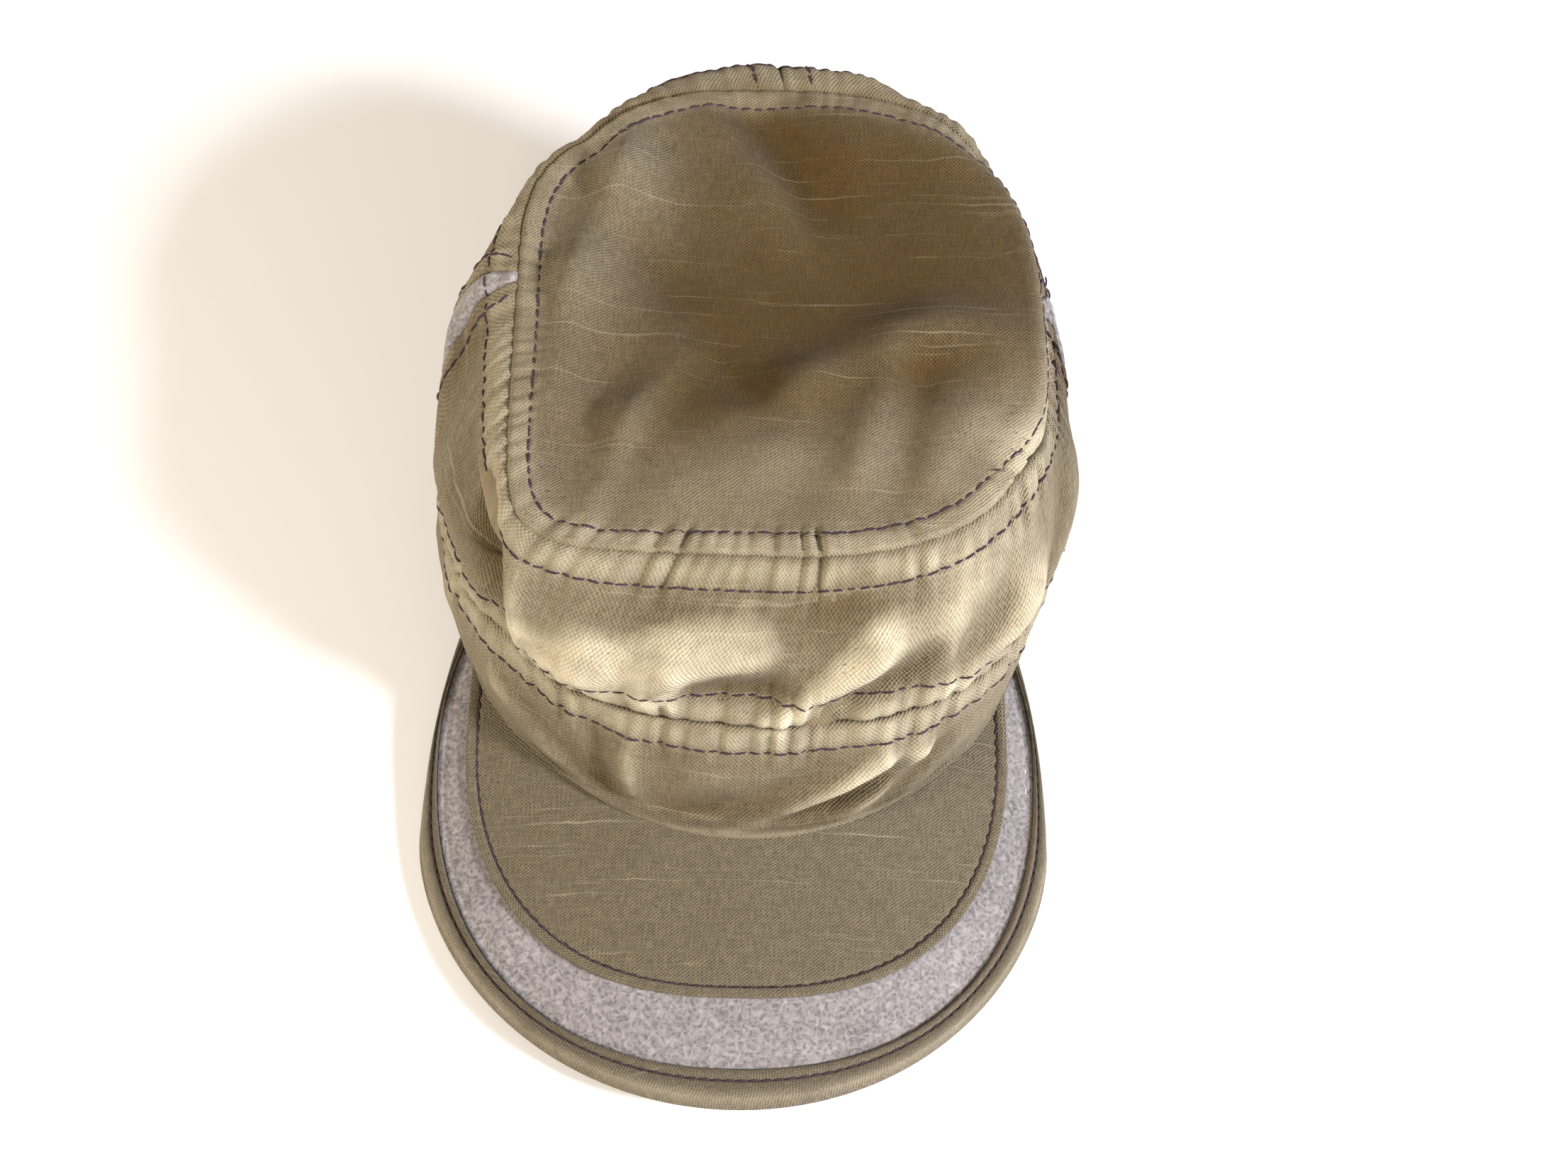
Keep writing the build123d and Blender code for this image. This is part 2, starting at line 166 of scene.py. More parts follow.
def seam_relief(d, s, seed, gather=1.0, depth=1.5, rise=0.6):
    """Height near a seam, at distance d and place s along it: a groove at the seam, raised seam
    allowances out to the stitch row, a dip at the row, and puckers across all of it."""
    groove = -depth * np.exp(-((d / 0.75) ** 2))
    allowance = rise * (1 - smooth((d - ROW - 0.3) / 1.8))
    dip = -0.65 * np.exp(-(((d - ROW) / 0.9) ** 2))
    near = np.exp(-((np.maximum(d - 5.5, 0) / 3.6) ** 2))
    return groove + allowance + dip + 0.90 * gather * near * pucker(s, seed)


def gathering(turn):
    """How strongly the cloth is gathered at a turn: most in front, least behind."""
    return 0.68 - 0.32 * np.sin(np.radians(turn))


def line_distance(x, y, a, b):
    """Distance to the endless line through two points, and the place along it."""
    dx, dy = b[0] - a[0], b[1] - a[1]
    long = math.hypot(dx, dy)
    return abs((x - a[0]) * dy - (y - a[1]) * dx) / long, ((x - a[0]) * dx + (y - a[1]) * dy) / long


BACK_TURN = 90.0

# Folds of the wall: turn, height share, turn, height share, width, height, skew.
WALL_FOLDS = [
    (214, 1.86, 221, 1.36, 8, -9.0, -0.25),
    (206, 1.55, 215, 1.40, 9, -3.0, 0.0),
    (227, 1.78, 227, 1.45, 4, 2.4, 0.0),
    (217, 1.24, 241, 1.30, 6, 5.2, 0.0),
    (241, 1.30, 256, 1.40, 7, 5.4, 0.0),
    (256, 1.40, 268, 1.46, 8, 4.2, 0.0),
    (260, 1.26, 272, 1.26, 5.0, -6.2, 0.0),
    (251, 1.22, 252, 1.10, 2.0, 1.3, 0.0),
    (254, 1.24, 256, 1.12, 1.8, 1.2, 0.0),
    (275, 1.10, 289, 1.46, 5, 4.8, 0.1),
    (284, 1.12, 298, 1.40, 4, -3.6, 0.0),
    (290, 1.10, 303, 1.36, 3.5, 2.0, 0.0),
    (296, 1.22, 312, 1.50, 5, -2.6, 0.0),
    (304, 1.18, 322, 1.46, 5, 2.4, 0.0),
    (292, 1.62, 318, 1.60, 9, 2.8, 0.0),
    (281, 1.82, 296, 1.76, 5, -2.2, 0.0),
    (322, 1.20, 338, 1.60, 6, -2.0, 0.0),
    (256, 0.20, 272, 0.30, 5, -3.4, 0.0),
    (266, 0.40, 282, 0.62, 4, -1.6, 0.0),
    (270, 0.14, 294, 0.64, 3.0, 4.2, 0.3),
    (276, 0.12, 297, 0.50, 4.2, -4.0, 0.0),
    (288, 0.10, 301, 0.64, 3.2, 3.6, 0.2),
    (296, 0.16, 306, 0.50, 3.8, -2.6, 0.0),
    (243, 0.72, 245, 0.36, 3.5, -2.0, 0.0),
    (249, 0.76, 250, 0.36, 3.5, 2.0, 0.0),
    (222, 0.62, 238, 0.22, 5, 1.6, 0.0),
    (228, 0.70, 243, 0.30, 4, -1.2, 0.0),
    (262, 0.60, 276, 0.70, 5, 1.0, 0.0),
    (150, 1.30, 166, 1.60, 8, 2.4, 0.0),
    (126, 1.40, 146, 1.20, 9, -2.6, 0.0),
    (100, 1.25, 112, 1.60, 8, 2.2, 0.0),
    (64, 1.55, 80, 1.25, 9, -2.4, 0.0),
    (34, 1.20, 52, 1.60, 8, 2.4, 0.0),
    (0, 1.25, 18, 1.50, 8, -2.0, 0.0),
    (120, 0.30, 146, 0.70, 8, 1.7, 0.0),
    (24, 0.30, 50, 0.72, 8, -1.7, 0.0),
    (180, 0.30, 204, 0.66, 7, 1.6, 0.0),
]


def visor_z(x, y, height):
    """A point of the visor's arch, at a height above the top cloth."""
    arch = VISOR_ARCH - np.sqrt(VISOR_ARCH**2 - np.clip(x, -120, 120) ** 2)
    return VISOR_ROOT_Z + VISOR_SLOPE * (y - VISOR_ROOT_Y) - arch + height


def level_z(lv, y):
    """Height on a level line: straight from its front to its back."""
    share = (y - lv[..., 1] + lv[..., 3]) / (lv[..., 3] + lv[..., 4])
    return lv[..., 5] + (lv[..., 6] - lv[..., 5]) * share


def front_cut(x, y, v):
    """The top's front edge runs back towards its right corner: a move in Y, growing with height."""
    return 13.0 * smooth((v - 1.25) / 0.7) * smooth((x - 12) / 85) * smooth((22 - y) / 55)


def droop(x, y, v):
    """The top panel hangs over its seam on the right, so the seam there is lower: a move in Z."""
    on_right = smooth((x - 48) / 26) * smooth((y + 28) / 40) * smooth((112 - y) / 30)
    return -12.0 * smooth((v - 1.45) / 0.5) * on_right


def wall_base(turn, v):
    """The wall without its cloth detail: the level line at height share v, at a turn in degrees."""
    turn, v = np.broadcast_arrays(np.asarray(turn, float), np.asarray(v, float))
    lv = level_values(np.clip(v, 0, 2))
    reach = oval_reach(turn, lv[..., 7:])
    c, s = np.cos(np.radians(turn)) * reach, np.sin(np.radians(turn)) * reach
    x = lv[..., 0] + lv[..., 2] * c
    y = lv[..., 1] + np.where(s < 0, lv[..., 3], lv[..., 4]) * s
    z = level_z(lv, y) + droop(x, y, v)
    y = y + front_cut(x, y, v)
    front = smooth((-38 - y) / 14)
    share = np.clip(1 - v, 0, 1) ** 1.5
    z = z + front * share * (visor_z(x, y, 0.3) - z)
    return np.stack([x, y, np.maximum(z, 0.4)], -1)


def turn_at(y, v, right):
    """The turn at which a side of the wall passes a given Y, by bisection from front to back."""
    low, high = (-89.0, 89.0) if right else (269.0, 91.0)
    for _ in range(40):
        middle = (low + high) / 2
        low, high = (middle, high) if wall_base(middle, v)[..., 1] < y else (low, middle)
    return middle


# Side inserts: the Y of their front and back edges at the middle seam, then at the top seam. Each
# edge then holds its turns at those two seams.
INSERT_Y = {"left": ((22.0, 40.0), (45.0, 43.0)), "right": ((24.0, 44.0), (54.0, 49.0))}
INSERT = {}
for side_name, (front_y, back_y) in INSERT_Y.items():
    is_right = side_name == "right"
    lap = 360.0 if is_right else 0.0
    INSERT[side_name] = {
        "front": tuple(turn_at(y, v, is_right) + lap for y, v in zip(front_y, (1.0, 2.0))),
        "back": tuple(turn_at(y, v, is_right) + lap for y, v in zip(back_y, (1.0, 2.0))),
    }


def outward(turn, v):
    """Unit normal of the plain wall, by differences."""
    dt = wall_base(turn + 0.3, v) - wall_base(turn - 0.3, v)
    dv = wall_base(turn, np.clip(v + 0.02, 0, 2)) - wall_base(turn, np.clip(v - 0.02, 0, 2))
    n = np.cross(dt, dv)
    return n / np.maximum(np.linalg.norm(n, axis=-1, keepdims=True), 1e-9)


def wall_relief(turn, v):
    """Height of the cloth over the plain wall: seams, puckers, folds and soft unevenness."""
    turn, v = np.broadcast_arrays(np.asarray(turn, float), np.asarray(v, float))
    s, h = turn * ARC, v * STOREY
    gather = gathering(turn)
    total = seam_relief((2 - v) * TOP_STOREY, s, 3, gather) + seam_relief(abs(v - 1) * STOREY, s, 4, gather)
    upper = smooth((v - 1) / 0.02)
    for side in INSERT.values():
        for low, high in side.values():
            d, along = line_distance(s, h, (low * ARC, STOREY), (high * ARC, 2 * STOREY))
            total = total + upper * 0.6 * seam_relief(d, along, 5) * np.exp(-((d / 9) ** 2))
    for shift in (0.0, 360.0):
        d, along = line_distance(s, h, ((BACK_TURN + shift) * ARC, 0), ((BACK_TURN + shift) * ARC, STOREY))
        total = total + 0.8 * seam_relief(d * 0.66, along, 6) * np.exp(-((d / 16) ** 2))
    held = smooth((v - 0.08) / 0.25) * smooth((1.98 - v) / 0.22)
    for t0, v0, t1, v1, width, height, skew in WALL_FOLDS:
        for shift in (-360.0, 0.0, 360.0):
            ends = (t0 + shift) * ARC, v0 * STOREY, (t1 + shift) * ARC, v1 * STOREY
            total = total + held * fold(s, h, *ends, width, height, skew)
    rim_roll = 1.3 * np.exp(-(((v - 0.07) / 0.07) ** 2)) - 0.9 * np.exp(-((v / 0.025) ** 2))
    loose = smooth(v / 0.15) * smooth((2 - v) / 0.15)
    ring = 360.0 * ARC
    uneven = 0.55 * waves(s, (ring / 5, ring / 8, ring / 13), 11) * loose
    uneven = uneven + 0.30 * ripple(s * 0.8, h * 1.3, 20, 12) * loose + 0.07 * ripple(s, h, 8, 13)
    return total + rim_roll + uneven


def wall(turn, v, inset=0.0):
    """The wall's outer face. Past the two ends of the height share the cloth tucks inwards."""
    turn, v = np.broadcast_arrays(np.asarray(turn, float), np.asarray(v, float))
    held = np.clip(v, 0, 2)
    n = outward(turn, held)
    p = wall_base(turn, held) + n * (wall_relief(turn, held) - inset)[..., None]
    tuck = (np.maximum(v - 2, 0) + np.maximum(-v, 0)) * STOREY
    p = p - n * tuck[..., None]
    over_visor = (p[..., 1] < -44) & (v >= 0)
    rest = visor_z(p[..., 0], p[..., 1], 0.25)
    p[..., 2] = np.where(over_visor, np.maximum(p[..., 2], rest), p[..., 2])
    return p


# ---- Top panel
# Folds of the top, as shares of its half width and half length: ends, then width and height in mm.
TOP_FOLDS = [
    (-0.62, 0.98, -0.63, 0.58, 9, 4.6, 0.2),
    (-0.63, 0.58, -0.80, 0.10, 8, 4.6, 0.2),
    (-0.80, 0.10, -0.88, -0.40, 7, 2.6, 0.0),
    (-0.66, 0.34, -0.48, 0.16, 9, -3.6, 0.0),
    (-0.66, -0.30, -0.74, -0.66, 11, -3.8, 0.0),
    (-0.30, 0.88, -0.10, 0.60, 9, 3.4, -0.3),
    (-0.10, 0.60, 0.02, 0.42, 8, 2.4, -0.3),
    (-0.10, 0.88, 0.12, 0.56, 9, -3.0, 0.0),
    (-0.72, -0.88, -0.58, -0.48, 6, 2.6, 0.3),
    (-0.58, -0.48, -0.36, -0.18, 7, 3.2, 0.3),
    (-0.26, -0.16, -0.12, -0.34, 8, -3.2, 0.0),
    (-0.16, -0.42, 0.10, -0.28, 7, 2.6, 0.2),
    (0.10, -0.28, 0.42, -0.10, 9, 3.6, 0.2),
    (0.42, -0.10, 0.64, -0.06, 10, 3.6, 0.2),
    (0.64, -0.06, 0.90, -0.16, 10, 3.8, 0.2),
    (0.40, -0.22, 0.28, -0.66, 5.5, 2.4, 0.0),
    (0.53, -0.28, 0.42, -0.72, 5.5, -2.0, 0.0),
    (0.72, -0.26, 0.58, -0.66, 6, 2.4, 0.0),
    (0.16, -0.40, 0.06, -0.74, 7, -1.6, 0.0),
    (0.97, 0.70, 1.00, -0.30, 11, 5.5, 0.0),
    (0.58, 0.92, 0.66, 0.70, 5, 2.2, 0.0),
    (0.24, 0.92, 0.80, 0.80, 12, 3.4, 0.0),
    (-0.06, -0.62, -0.36, -0.78, 9, 1.8, 0.0),
]


def top_edge(turn):
    """Distance from the middle of the top to its seam, at a turn, and the level values there."""
    lv = level_values(np.full(np.shape(turn), 2.0))
    reach = oval_reach(turn, lv[..., 7:])
    x = lv[..., 2] * np.cos(np.radians(turn)) * reach
    y = np.sin(np.radians(turn)) * reach
    y = y * np.where(y < 0, lv[..., 3], lv[..., 4])
    y = y + front_cut(lv[..., 0] + x, lv[..., 1] + y, 2.0)
    return np.hypot(x, y), x, y, lv


def top_surface(turn, share):
    """The top panel at a turn and a share of the way out: the plane of its seam, a broad sag, the
    folds, and the seam's relief by its edge."""
    turn, share = np.broadcast_arrays(np.asarray(turn, float), np.asarray(share, float))
    radius, ex, ey, lv = top_edge(turn)
    x, y = ex * share, ey * share
    x, y = lv[..., 0] + x - top_cx, lv[..., 1] + y - top_cy
    nx, ny = x / top_a, y / top_b
    z = level_z(lv, y + top_cy)
    hang = droop(lv[..., 0] + ex, lv[..., 1] + ey, 2.0)
    z = z + hang * np.clip((share - 0.82) / 0.18, 0, 1) ** 1.6
    inside = smooth((1 - share) * radius / 22)
    z = z - 7.5 * np.exp(-(((nx - 0.08) / 0.62) ** 2) - ((ny - 0.16) / 0.55) ** 2)
    z = z + 1.5 * np.exp(-(((nx - 0.45) / 0.5) ** 2) - ((ny + 0.5) / 0.3) ** 2)
    relief = 0
    for x0, y0, x1, y1, width, height, skew in TOP_FOLDS:
        relief = relief + fold(x, y, x0 * top_a, y0 * top_b, x1 * top_a, y1 * top_b, width, height, skew)
    edge = smooth((1 - share) * radius / 14)
    z = z + relief * (0.25 + 0.75 * edge)
    d = (1 - share) * radius * SQUARE
    z = z + seam_relief(d, turn * ARC, 3, gathering(turn))
    z = z + inside * 0.42 * ripple(x, y, 32, 21) + 0.06 * ripple(x, y, 9, 22)
    tuck = np.maximum(share - 1, 0) * radius
    held = np.minimum(share, 1)
    z = z - tuck * 1.2
    spread = 1 - 0.010 * hang * np.sin(np.pi * np.clip((share - 0.60) / 0.40, 0, 1))
    return np.stack([lv[..., 0] + ex * held * spread, lv[..., 1] + ey * held * spread, z], -1)


# ---- Mesh making
def collection_add(mesh, name):
    """An object of a mesh, in the scene."""
    made = bpy.data.objects.new(name, mesh)
    bpy.context.scene.collection.objects.link(made)
    return made


def grid_piece(name, points, uv, material, thick=0.0, flip=False, wrap=False, extra=None):
    """A sheet from a grid of points in mm, with its own UV in mm, joined round where wrap is set.
    Thickness goes inwards from the outer face."""
    rows, cols = points.shape[:2]
    index = np.arange(rows * cols).reshape(rows, cols)
    if wrap:
        index = np.concatenate([index, index[:, :1]], 1)
        uv = np.concatenate([uv, uv[:, :1] + (uv[:, -1:] - uv[:, -2:-1]) * [cols, 0]], 1)
    a, b, c, d = index[:-1, :-1], index[:-1, 1:], index[1:, 1:], index[1:, :-1]
    faces = np.stack([a, b, c, d] if not flip else [a, d, c, b], -1).reshape(-1, 4)
    flat = uv.reshape(-1, 2)
    wide = uv.shape[1]
    place = np.arange(rows * wide).reshape(rows, wide)
    ua, ub, uc, ud = place[:-1, :-1], place[:-1, 1:], place[1:, 1:], place[1:, :-1]
    corners = np.stack([ua, ub, uc, ud] if not flip else [ua, ud, uc, ub], -1).reshape(-1)
    mesh = bpy.data.meshes.new(name)
    mesh.from_pydata((points.reshape(-1, 3) * MM).tolist(), [], faces.tolist())
    layer = mesh.uv_layers.new(name="cloth_mm")
    layer.data.foreach_set("uv", flat[corners].astype(np.float32).ravel())
    for key, values in (extra or {}).items():
        attribute = mesh.attributes.new(key, "FLOAT", "POINT")
        attribute.data.foreach_set("value", np.asarray(values, np.float32).ravel())
    mesh.polygons.foreach_set("use_smooth", np.ones(len(mesh.polygons), bool))
    mesh.materials.append(material)
    made = collection_add(mesh, name)
    if thick:
        solid = made.modifiers.new("cloth thickness", "SOLIDIFY")
        solid.thickness = thick * MM
        solid.offset = -1.0
    return made


def carried_profile(name, path, up, profile, material, closed_ends=True):
    """A closed profile carried along a path: each ring is the path point plus the profile's two
    coordinates along the side direction and the up direction. Ends are capped."""
    path, up = np.asarray(path, float), np.asarray(up, float)
    tangent = np.gradient(path, axis=0)
    tangent /= np.linalg.norm(tangent, axis=1, keepdims=True)
    side = np.cross(tangent, up)
    side /= np.linalg.norm(side, axis=1, keepdims=True)
    lift = np.cross(side, tangent)
    rings = path[:, None] + side[:, None] * profile[None, :, :1] + lift[:, None] * profile[None, :, 1:]
    rows, cols = rings.shape[:2]
    index = np.arange(rows * cols).reshape(rows, cols)
    nxt = np.roll(index, -1, 1)
    faces = np.stack([index[:-1], index[1:], nxt[1:], nxt[:-1]], -1).reshape(-1, 4).tolist()
    if closed_ends:
        faces += [index[0].tolist(), index[-1][::-1].tolist()]
    along = np.r_[0, np.cumsum(np.linalg.norm(np.diff(path, axis=0), axis=1))]
    across = np.r_[0, np.cumsum(np.linalg.norm(np.diff(profile, axis=0), axis=1))]
    mesh = bpy.data.meshes.new(name)
    mesh.from_pydata((rings.reshape(-1, 3) * MM).tolist(), [], faces)
    grid = np.stack(np.broadcast_arrays(along[:, None], across[None]), -1).reshape(-1, 2)
    order = np.zeros(len(mesh.loops), int)
    mesh.loops.foreach_get("vertex_index", order)
    layer = mesh.uv_layers.new(name="cloth_mm")
    layer.data.foreach_set("uv", grid[order].astype(np.float32).ravel())
    fade_and_painted_shading = mesh.attributes.new("fade_and_painted_shading", "FLOAT", "POINT")
    fade_and_painted_shading.data.foreach_set("value", np.full(len(mesh.vertices), 0.6, np.float32))
    mesh.polygons.foreach_set("use_smooth", np.ones(len(mesh.polygons), bool))
    mesh.materials.append(material)
    mesh.validate()
    return collection_add(mesh, name)


def rounded_bar(width, height, points=20, power=4.0):
    """The profile of a flat bar with round edges: a superellipse."""
    a = np.linspace(0, 2 * np.pi, points, endpoint=False)
    c, s = np.cos(a), np.sin(a)
    x = np.sign(c) * abs(c) ** (2 / power) * width / 2
    y = np.sign(s) * abs(s) ** (2 / power) * height / 2
    return np.stack([x, y], -1)


def resample(path, extra, pitch):
    """Points every pitch along a path, with other rows of numbers carried along."""
    path = np.asarray(path, float)
    along = np.r_[0, np.cumsum(np.linalg.norm(np.diff(path, axis=0), axis=1))]
    count = max(int(along[-1] / pitch), 1)
    want = (np.arange(count) + 0.5) * along[-1] / count
    pick = lambda a: np.stack([np.interp(want, along, a[:, k]) for k in range(a.shape[1])], -1)
    ahead = np.stack([np.interp(want + 0.5, along, path[:, k]) for k in range(3)], -1)
    behind = np.stack([np.interp(want - 0.5, along, path[:, k]) for k in range(3)], -1)
    return pick(path), pick(np.asarray(extra, float)), ahead - behind


stitch_parts = []


def stitch_row(path, normals, pitch=PITCH, length=4.05, radius=0.31, lift=0.05):
    """Stitches along a path. Each is a fat thread: five rings of six points along an arc that dives
    into the cloth at both ends."""
    centre, n, t = resample(path, normals, pitch)
    t /= np.linalg.norm(t, axis=1, keepdims=True)
    n /= np.linalg.norm(n, axis=1, keepdims=True)
    b = np.cross(t, n)
    jitter = rng.normal(0, 0.09, (len(t), 1))
    t, b = t + b * jitter, b - t * jitter
    u = np.linspace(-1, 1, 7)
    fat = np.sqrt(np.maximum(1 - u**4, 0.04))
    a = np.linspace(0, 2 * np.pi, 6, endpoint=False)
    long = length * (1 + rng.normal(0, 0.05, (len(t), 1, 1, 1))) / 2
    bow = (lift + 0.45 * (1 - u**2) - 0.30)[None, :, None, None]
    rings = centre[:, None, None] + t[:, None, None] * u[None, :, None, None] * long
    rings = rings + n[:, None, None] * (bow + radius * (fat[:, None] * np.cos(a))[None, :, :, None])
    rings = rings + b[:, None, None] * (radius * 1.15 * (fat[:, None] * np.sin(a))[None, :, :, None])
    stitch_parts.append(rings)


def build_stitches(name, material):
    """All rows so far as one mesh of closed thread pieces."""
    rings = np.concatenate(stitch_parts)
    stitch_parts.clear()
    count, along, around = rings.shape[:3]
    index = np.arange(count * along * around).reshape(count, along, around)
    nxt = np.roll(index, -1, 2)
    faces = np.stack([index[:, :-1], nxt[:, :-1], nxt[:, 1:], index[:, 1:]], -1).reshape(-1, 4).tolist()
    faces += index[:, 0, ::-1].tolist() + index[:, -1].tolist()
    mesh = bpy.data.meshes.new(name)
    mesh.from_pydata((rings.reshape(-1, 3) * MM).tolist(), [], faces)
    mesh.polygons.foreach_set("use_smooth", np.ones(len(mesh.polygons), bool))
    mesh.materials.append(material)
    mesh.validate()
    return collection_add(mesh, name)


# ---- Materials
# In object coordinates a noise scale is how many patches lie in a metre: 1000 is 1 mm a patch.
MATH = "ShaderNodeMath"
VECTOR_MATH = "ShaderNodeVectorMath"
MIX = "ShaderNodeMix"
RANGE = "ShaderNodeMapRange"
NOISE = "ShaderNodeTexNoise"
MAPPING = "ShaderNodeMapping"
BUMP = "ShaderNodeBump"
COORDINATES = "ShaderNodeTexCoord"


def linear(code, alpha=1.0):
    """An sRGB hex colour as linear numbers."""
    parts = [int(code[i:i + 2], 16) / 255 for i in (1, 3, 5)]
    return [c / 12.92 if c <= 0.04045 else ((c + 0.055) / 1.055) ** 2.4 for c in parts] + [alpha]


def add(tree, kind, values=None, **settings):
    """Adds a node with its settings, input values and links. A node given as a value is linked from its
    first output in use."""
    node = tree.nodes.new(kind)
    for key, value in settings.items():
        setattr(node, key, value)
    for key, value in (values or {}).items():
        if isinstance(value, bpy.types.Node):
            value = next(o for o in value.outputs if o.enabled)
        if isinstance(value, bpy.types.NodeSocket):
            tree.links.new(value, node.inputs[key])
        else:
            node.inputs[key].default_value = value
    return node


def new_material(name, roughness, sheen=0.0, metallic=0.0):
    """A material with its constants set on the shader. Cloth and plastic here have little gloss."""
    made = bpy.data.materials.new(name)
    made.use_nodes = True
    shader = made.node_tree.nodes["Principled BSDF"]
    shader.inputs["Metallic"].default_value = metallic
    shader.inputs["Roughness"].default_value = roughness
    shader.inputs["Sheen Weight"].default_value = sheen
    shader.inputs["Sheen Roughness"].default_value = 0.6
    if not metallic:
        shader.inputs["Specular IOR Level"].default_value = 0.15
    return made, made.node_tree, shader


def set_surface(tree, shader, colour, height, strength, depth_mm):
    """Gives the shader the colour of a mix node, and a bump from a height."""
    tree.links.new(colour.outputs[2], shader.inputs["Base Color"])
    relief = add(tree, BUMP, {"Height": height, "Strength": strength, "Distance": depth_mm * MM})
    tree.links.new(relief.outputs[0], shader.inputs["Normal"])


def woven(name, deep, worn, pale, weft=0.95, warp=0.62, slub=1.0, turn=0.0, speck=0.45, bump=0.95):
    """Washed slub cotton, plain weave: matte, fuzzy, paler on raised threads and rubbed edges, with
    thick slub yarns along the weft. The real pitch is 0.66 by 0.34 mm, drawn coarser so it shows.
    The point attributes fade_and_painted_shading and rub_and_painted_highlight give how washed and how rubbed
    the cloth is, and also carry painted shade and painted light: darker in hollows, paler on lit sides and
    raised folds."""
    made, tree, shader = new_material(name, 0.93, sheen=0.06)
    uv = add(tree, "ShaderNodeUVMap", uv_map="cloth_mm")
    if turn:
        uv = add(tree, MAPPING, {0: uv, 2: (0, 0, math.radians(turn))})
    # Threads wander by up to 0.8 mm over about 8 mm.
    wobble = add(tree, NOISE, {"Vector": uv, "Scale": 0.12, "Detail": 2.0})
    moved = add(tree, VECTOR_MATH, {0: wobble.outputs["Color"], 1: (1.6, 1.6, 0)}, operation="MULTIPLY")
    cloth = add(tree, VECTOR_MATH, {0: uv, 1: moved}, operation="ADD")
    split = add(tree, "ShaderNodeSeparateXYZ", {0: cloth})
    across = add(tree, MATH, {0: split.outputs[0], 1: math.pi / warp}, operation="MULTIPLY")
    over = add(tree, MATH, {0: across}, operation="SINE")
    along = add(tree, MATH, {0: split.outputs[1], 1: 2 * math.pi / weft}, operation="MULTIPLY")
    under = add(tree, MATH, {0: along}, operation="SINE")
    plain = add(tree, MATH, {0: over, 1: under}, operation="MULTIPLY")
    # Each yarn varies along its own length every 4.5 mm, and slub yarns every 125 mm.
    yarn_uv = add(tree, MAPPING, {0: cloth, 3: (0.22, 1.0 / weft, 1)})
    yarn = add(tree, NOISE, {"Vector": yarn_uv, "Scale": 1.0, "Detail": 3.0, "Roughness": 0.6})
    end_uv = add(tree, MAPPING, {0: cloth, 3: (1.0 / warp, 0.22, 1)})
    ends = add(tree, NOISE, {"Vector": end_uv, "Scale": 1.0, "Detail": 2.0})
    slub_uv = add(tree, MAPPING, {0: cloth, 3: (0.008, 0.60, 1)})
    slubs = add(tree, NOISE, {"Vector": slub_uv, "Scale": 1.0, "Detail": 4.0, "Roughness": 0.7})
    slub_line = add(tree, RANGE, {0: slubs, 1: 0.592, 2: 0.68})
    place = add(tree, COORDINATES).outputs["Object"]
    cloud = add(tree, NOISE, {"Vector": place, "Scale": 34.0, "Detail": 5.0, "Roughness": 0.6})
    blotch = add(tree, NOISE, {"Vector": place, "Scale": 110.0, "Detail": 3.0})
    dots = add(tree, NOISE, {"Vector": place, "Scale": 900.0, "Detail": 1.0})
    fade_and_painted_shading = add(tree, "ShaderNodeAttribute", attribute_name="fade_and_painted_shading").outputs["Fac"]
    rub_and_painted_highlight = add(tree, "ShaderNodeAttribute", attribute_name="rub_and_painted_highlight").outputs["Fac"]
    # The cloth's tone, from unfaded to washed; its fade value also carries painted shade and painted light.
    centred = add(tree, MATH, {0: cloud, 1: 0.5}, operation="SUBTRACT")
    uneven = add(tree, MATH, {0: centred, 1: 0.34}, operation="MULTIPLY")
    tone = add(tree, MATH, {0: fade_and_painted_shading, 1: uneven}, operation="ADD", use_clamp=True)
    colour = add(tree, MIX, {0: tone, 6: linear(deep), 7: linear(worn)}, data_type="RGBA")
    # Dark gaps between the threads.
    end_light = add(tree, MATH, {0: ends, 1: 0.44}, operation="MULTIPLY")
    light = add(tree, MATH, {0: yarn, 1: 0.36, 2: end_light}, operation="MULTIPLY_ADD")
    cross_light = add(tree, MATH, {0: plain, 1: 0.11}, operation="MULTIPLY")
    light = add(tree, MATH, {0: light, 1: cross_light}, operation="ADD")
    open_gap = add(tree, RANGE, {0: light, 1: 0.28, 2: 0.58})
    shaded = add(tree, MIX, {0: 0.52, 6: colour, 7: linear("#2A1E10")}, data_type="RGBA")
    colour = add(tree, MIX, {0: open_gap, 6: shaded, 7: colour}, data_type="RGBA")
    # Pale slub yarns, rubbed places that are partly painted highlight on raised folds, and specks of dirt.
    slub_light = add(tree, MATH, {0: slub_line, 1: 0.34 * slub}, operation="MULTIPLY")
    colour = add(tree, MIX, {0: slub_light, 6: colour, 7: linear(pale)}, data_type="RGBA")
    patchy = add(tree, RANGE, {0: blotch, 1: 0.0, 2: 0.75})
    rubbed = add(tree, MATH, {0: rub_and_painted_highlight, 1: patchy}, operation="MULTIPLY", use_clamp=True)
    colour = add(tree, MIX, {0: rubbed, 6: colour, 7: linear(pale)}, data_type="RGBA")
    dot = add(tree, RANGE, {0: dots, 1: 0.66, 2: 0.72})
    soiled = add(tree, RANGE, {0: cloud, 1: 0.48, 2: 0.62})
    dirt = add(tree, MATH, {0: dot, 1: soiled}, operation="MULTIPLY")
    dirt = add(tree, MATH, {0: dirt, 1: speck}, operation="MULTIPLY")
    colour = add(tree, MIX, {0: dirt, 6: colour, 7: linear("#241A10")}, data_type="RGBA")
